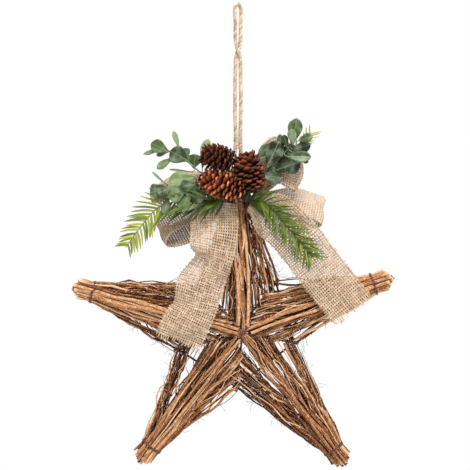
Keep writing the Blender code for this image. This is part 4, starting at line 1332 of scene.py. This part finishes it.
# %% [markdown]
# ## Leaves
# The leaves are cut from thin green plastic sheet pressed over a mould, which leaves a raised middle vein,
# and some are dusted with pale frost. One leaf is shaped from a grid: its rows are scaled to an egg outline
# with the broad end outside, and its middle column is pressed down into a fold. Copies take each leaf's own
# length, width, tilt and colour. Wires covered in green tape carry them. The smooth sheet has a soft gloss.

# %% The leaf finish
leaf_sheet, node = new_material("pressed polyethylene leaf", "#5B7F5C", 0.32, specular=0.22)
lay = node("Attribute", attribute_name="lay", output="Vector")
tone = node("Attribute", attribute_name="tone", output="Fac")
greens = node("ValToRGB", tone, stops=[
    (0.0, "#0E1806"), (0.25, "#212F11"), (0.5, "#3B4B25"), (0.75, "#5B6C42"), (1.0, "#81936B")])
# a film of frost in soft blotches, 5 to 10 mm wide
frost = node("TexNoise", node("TexCoord", output="Object"), Scale=110, Detail=2, Roughness=0.5)
frost = node("MapRange", frost, 0.45, 0.75, 0.0, 0.32)
frosted = node("Mix", frost, data_type="RGBA", more={6: greens, 7: linear("#A3B298")}, output=2)
# a middle vein, and side veins that slant away from it, seven on each side of a leaf
across_leaf = node("SeparateXYZ", lay)
from_middle = node("Math", across_leaf, operation="ABSOLUTE")
vein = node("MapRange", from_middle, 0.01, 0.045, 0.22, 0.0)
slant = node("Math", from_middle, -0.8, across_leaf.node.outputs[1], operation="MULTIPLY_ADD")
side_veins = node("Math", node("Math", slant, 44.0, operation="MULTIPLY"), operation="SINE")
side_veins = node("MapRange", side_veins, 0.80, 1.0, 0.0, 0.07)
veins = node("Math", vein, side_veins, operation="MAXIMUM")
colours = node("Mix", veins, data_type="RGBA", more={6: frosted, 7: linear("#A5B585")}, output=2)
coat(leaf_sheet, colours, normal=node("Bump", Strength=0.5, Distance=0.0004, Height=veins))

# %% Model one leaf
bpy.ops.object.select_all(action="DESELECT")
bpy.ops.mesh.primitive_grid_add(x_subdivisions=4, y_subdivisions=7, size=1, location=(0, 0.5, 0))
leaf = into_edit_mode("leaf")
for k, girth in enumerate((0.06, 0.30, 0.55, 0.80, 0.98, 1.06, 0.92, 0.36)):
    height = k / 7
    stretch(leaf, lambda co: abs(co.y - height) < 0.01, (girth, 1, 1), (0, height, 0))
    bpy.ops.transform.translate(value=(0, 0, 0.35 * height * (1 - height)))
push(leaf, lambda co: abs(co.x) < 0.005, (0, 0, -0.20))
push(leaf, lambda co: abs(co.x) < 0.005 and co.y > 0.99, (0, 0.05, 0))
out_of_edit_mode(leaf, leaf_sheet)

# %% Arrange the sprays
# Each leaf: base X and Z, tip X and Z, width and depth in millimetres beside the knot, and its tone.
SPRAYS = {
    "left_upper": (
        [(-5, 4, 1.3), (-14, 7, 1.5), (-26, 11, 2), (-41, 19, 5), (-52, 28, 8), (-72, 40, 9), (-86, 51, 9)],
        [(-73, 40, -91, 48, 12, 14, 0.40), (-80, 43, -99, 37, 4, 11, 0.6), (-74, 39, -86, 36, 4, 7, 0.3),
         (-62, 43, -68, 61, 5, 8, 0.75), (-52, 30, -71, 40, 16, 12, 0.15), (-53, 32, -58, 43, 10, 4.5, 0.5),
         (-68, 34, -85, 22, 7, 8, 0.55), (-47, 22, -45, 37, 13, 2.5, 0.3), (-47, 18, -72, 21, 2.4, 9, 0.7),
         (-38, 22, -32, 53, 10, -2, 0.85)]),
    "left_lower": (
        [(-5, -2, 1.3), (-14, 0, 1.5), (-28, 4, 2), (-44, 8, 8), (-58, 3, 12), (-70, 0, 13), (-78, 0, 13)],
        [(-44, 13, -72, 9, 13, 14, 0.68), (-44, 6, -60, 2, 11, 17, 0.25), (-54, 1, -74, -7, 17, 15, 0.6),
         (-47, 4, -40, -14, 15, 9.5, 0.2), (-50, -5, -61, -23, 11, 14, 0.5), (-73, -7, -78, -26, 8, 10, 0.45),
         (-76, 1, -92, -4, 14, 13, 0.35), (-70, 1, -84, -4, 13, 16, 0.2), (-77, 6, -90, 18, 2.4, 13, 0.6),
         (-62, 8, -50, -2, 13, 11, 0.35), (-66, -4, -56, -14, 12, 12, 0.3)]),
    "right": (
        [(5, 4, 1.3), (14, 10, 1.5), (25, 16, 2.1), (38, 27, 5), (48, 37, 8), (56, 48, 9)],
        [(30, 22, 43, 50, 16, 9, 0.1), (19, 32, 33, 47, 9, 4, 0.4), (56, 46, 62, 74, 13, 10, 0.5),
         (58, 46, 56, 63, 8, 15, 0.65), (47, 37, 44, 58, 6, 6, 0.1), (52, 43, 48, 57, 6, 12, 0.3),
         (57, 42, 76, 47, 10, 6.5, 0.2), (49, 35, 76, 34, 11, 11, 0.45), (39, 20, 65, 29, 16, 8, 0.05),
         (25, 15, 46, 12, 13, 6, 0.25), (63, 51, 78, 56, 8, 11, 0.5), (66, 32, 74, 29, 5, 9, 0.5),
         (12, -2, 8, -13, 9, 7, 0.05), (28, 14, 57, 47, 9, 5, 0.20), (48, 33, 62, 45, 10, 5, 0.18)]),
}
print(sum(len(leaves) for _, leaves in SPRAYS.values()), "leaves")

# %% [markdown]
# A leaf lies along the line from its base to its tip and tilts a little to one side. A thin stalk joins it to
# the stem. The sharp grid of the copies is then rounded, and given the thickness of the sheet.

# %% Set the leaves on their stems
LEAF_SPREAD = 1.2
LEAF_FOLD = 0.22
LEAF_THICKNESS = 0.0004
LEAF_TONE = {"left_upper": 0.10, "left_lower": 0.08, "right": -0.12}


def applied(piece, kind, **settings):
    """Adds a modifier to the selected piece and applies it."""
    modifier = piece.modifiers.new(kind, kind)
    for name, value in settings.items():
        setattr(modifier, name, value)
    bpy.ops.object.modifier_apply(modifier=modifier.name)


for name, (route, leaves) in SPRAYS.items():
    rng = random.Random(name)
    stem_line = smooth_line([beside_knot(*at) for at in route], 0.003)
    thick = np.linspace(1.0, 0.6, len(stem_line)) * STEM_DIAMETER / 2
    shapes = [tube(stem_line, thick, 8, 0.2, (0, 1, 0))]
    copies = []
    for base_x, base_z, tip_x, tip_z, width, depth, tone in leaves:
        base = beside_knot(base_x, base_z, depth)
        tip = beside_knot(tip_x, tip_z, depth + 1)
        root = stem_line[np.argmin(np.linalg.norm(stem_line - base, axis=1))]
        stalk = smooth_line([root, mix(root, base, 0.5) + (0, -0.0006, 0), mix(base, tip, 0.08)], 0.0015)
        shapes.append(tube(stalk, 0.0005, 6, 0.3))
        along = tip - base
        across = unit(np.cross(along, FRONT))
        facing = unit(unit(np.cross(across, along)) + across * rng.uniform(-0.35, 0.35))
        across = unit(np.cross(along, facing))
        copies.append(placed_copy(leaf, base, across * width * MM * LEAF_SPREAD, along,
                                  facing * LEAF_FOLD * np.linalg.norm(along), tone + LEAF_TONE[name]))
    stems = mesh_piece("stems", shapes, leaf_sheet)
    blades = joined("blades", copies)
    applied(blades, "SUBSURF", levels=1, render_levels=1)
    applied(blades, "SOLIDIFY", thickness=LEAF_THICKNESS, offset=0)
    dress(joined(f"leaf_spray_{name}", [blades, stems]), [f"leaves_{name}"])
bpy.data.objects.remove(leaf)

# %% [markdown]
# ## Fir sprigs
# The sprigs are moulded in soft polyethylene: a stem with rows of needles on both sides, darker at the
# base and yellow-green at the tips of the new growth. One needle is a thin five-sided spike, widened and
# flattened into a blade. Hundreds of copies lean forward along the stem. The plastic has a low, waxy shine.

# %% The needle finish
needle_plastic, node = new_material("moulded polyethylene needle", "#5C7A2B", 0.42, specular=0.3, ior=1.51)
lay = node("Attribute", attribute_name="lay", output="Vector")
tone = node("Attribute", attribute_name="tone", output="Fac")
# the darkest needles are darker still near the stem
tipward = node("MapRange", node("SeparateXYZ", lay, output=2), 0.002, 0.020, -0.16, 0.22)
colours = node("ValToRGB", node("Math", tone, tipward, operation="ADD"), stops=[
    (0.0, "#111C06"), (0.3, "#2A3D0D"), (0.6, "#52631C"), (1.0, "#929337")])
coat(needle_plastic, colours)

# %% Model one needle
bpy.ops.object.select_all(action="DESELECT")
bpy.ops.mesh.primitive_cone_add(vertices=5, radius1=0.7, radius2=0.15, depth=1, location=(0, 0, 0.5))
needle = into_edit_mode("needle")
cut_across(2, [0.25, 0.5, 0.8])
for height, girth in ((0.25, 1.5), (0.5, 1.9), (0.8, 2.2)):
    stretch(needle, lambda co: abs(co.z - height) < 0.01, (girth, girth * 0.45, 1), (0, 0, height))
out_of_edit_mode(needle, needle_plastic, 60)

# %% Grow the sprigs
# a row's angle round the stem, 0 to the right and 90 to the front, and its lean from the stem, in degrees
FLAT = ((0, 50), (180, 50))
FULL = ((-8, 56), (188, 56), (45, 48), (135, 48))
LAST_NEEDLE = 0.995
NEEDLE_BEND = 0.14


def sprig(name, route, first, pitch, full_to, thick, reach_at, tone_at, seed):
    """A stem with needles from the share first on, in four rows up to the share full_to, then in two."""
    rng = random.Random(seed)
    line = smooth_line([beside_knot(*at) for at in route], 0.001)
    total = line_length(line)
    along = unit(np.gradient(line, axis=0))
    across = unit(np.cross(along, (0, -1, 0)))
    facing = unit(np.cross(across, along))
    facing = facing * np.where(facing[:, 1:2] > 0, -1.0, 1.0)
    radius = np.linspace(1.0, 0.5, len(line))[::3] * STEM_DIAMETER / 2
    stem = strand(line[::3], across[::3], facing[::3], radius, radius, 7, 0.25)
    copies = [mesh_piece("stem", [stem], needle_plastic)]
    place = first * total
    while place < LAST_NEEDLE * total:
        share = place / total
        for degrees, lean in FULL if share < full_to else FLAT:
            at = int((place + rng.uniform(-0.4, 0.4) * pitch) / total * (len(line) - 1))
            at = min(len(line) - 2, at)
            turn = math.radians(degrees + rng.uniform(-14, 14))
            out = across[at] * math.cos(turn) + facing[at] * math.sin(turn)
            opening = math.radians(lean + rng.uniform(-7, 7))
            heading = along[at] * math.cos(opening) + out * math.sin(opening)
            reach = reach_at(share) * rng.uniform(0.85, 1.1)
            start, bend = line[at], along[at] * reach * NEEDLE_BEND
            spike = [start, start + heading * reach * 0.5, start + heading * reach + bend]
            tone = min(1.0, max(0.0, tone_at(share) + rng.uniform(-0.22, 0.22)))
            flat_to_front = math.radians(90 + rng.uniform(-25, 25))
            copies.append(bent_copy(needle, smooth_line(spike, reach / 4), thick, thick, tone, flat_to_front))
        place += pitch
    dress(joined(f"fir_sprig_{name}", copies), [f"sprig_{name}"])


# %% [markdown]
# The left sprig is long, with four rows of needles near the bow and two in its outer part. The right one
# has four rows all along and droops over the right tail. Of the third, only a yellow-green tuft shows behind
# the right leaves.

# %% Place the three sprigs
sprig("left", [(-5, -8, 1.3), (-14, -9.5, 1.8), (-24, -10.5, 3), (-35, -11, 6), (-58, -12, 7), (-82, -18, 8),
               (-100, -36, 8), (-119, -62, 8)],
      0.08, 0.0038, 0.42, 0.00160, lambda share: 0.025 * (1.0 - 1.1 * max(0.0, share - 0.55)),
      lambda share: mix(0.20, 0.57, smoothstep((share - 0.30) / 0.4)), 11)
sprig("right", [(5, -7, 1.3), (13, -10, 1.6), (20, -12, 4), (28, -14, 9), (38, -24, 12), (50, -38, 12),
                (64, -54, 12), (79, -73, 12)],
      0.08, 0.0030, 1.0, 0.00105, lambda share: 0.0245 * (1.05 - 0.35 * share),
      lambda share: 0.26 + 0.14 * share, 12)
sprig("tip_right", [(5, -1, 1.3), (16, 3, 1.5), (28, 9, 2.4), (46, 22, 3), (62, 40, 2), (78, 61, 2)],
      0.74, 0.0034, 0.0, 0.00095, lambda share: 0.0105, lambda share: 0.80, 13)
bpy.data.objects.remove(needle)
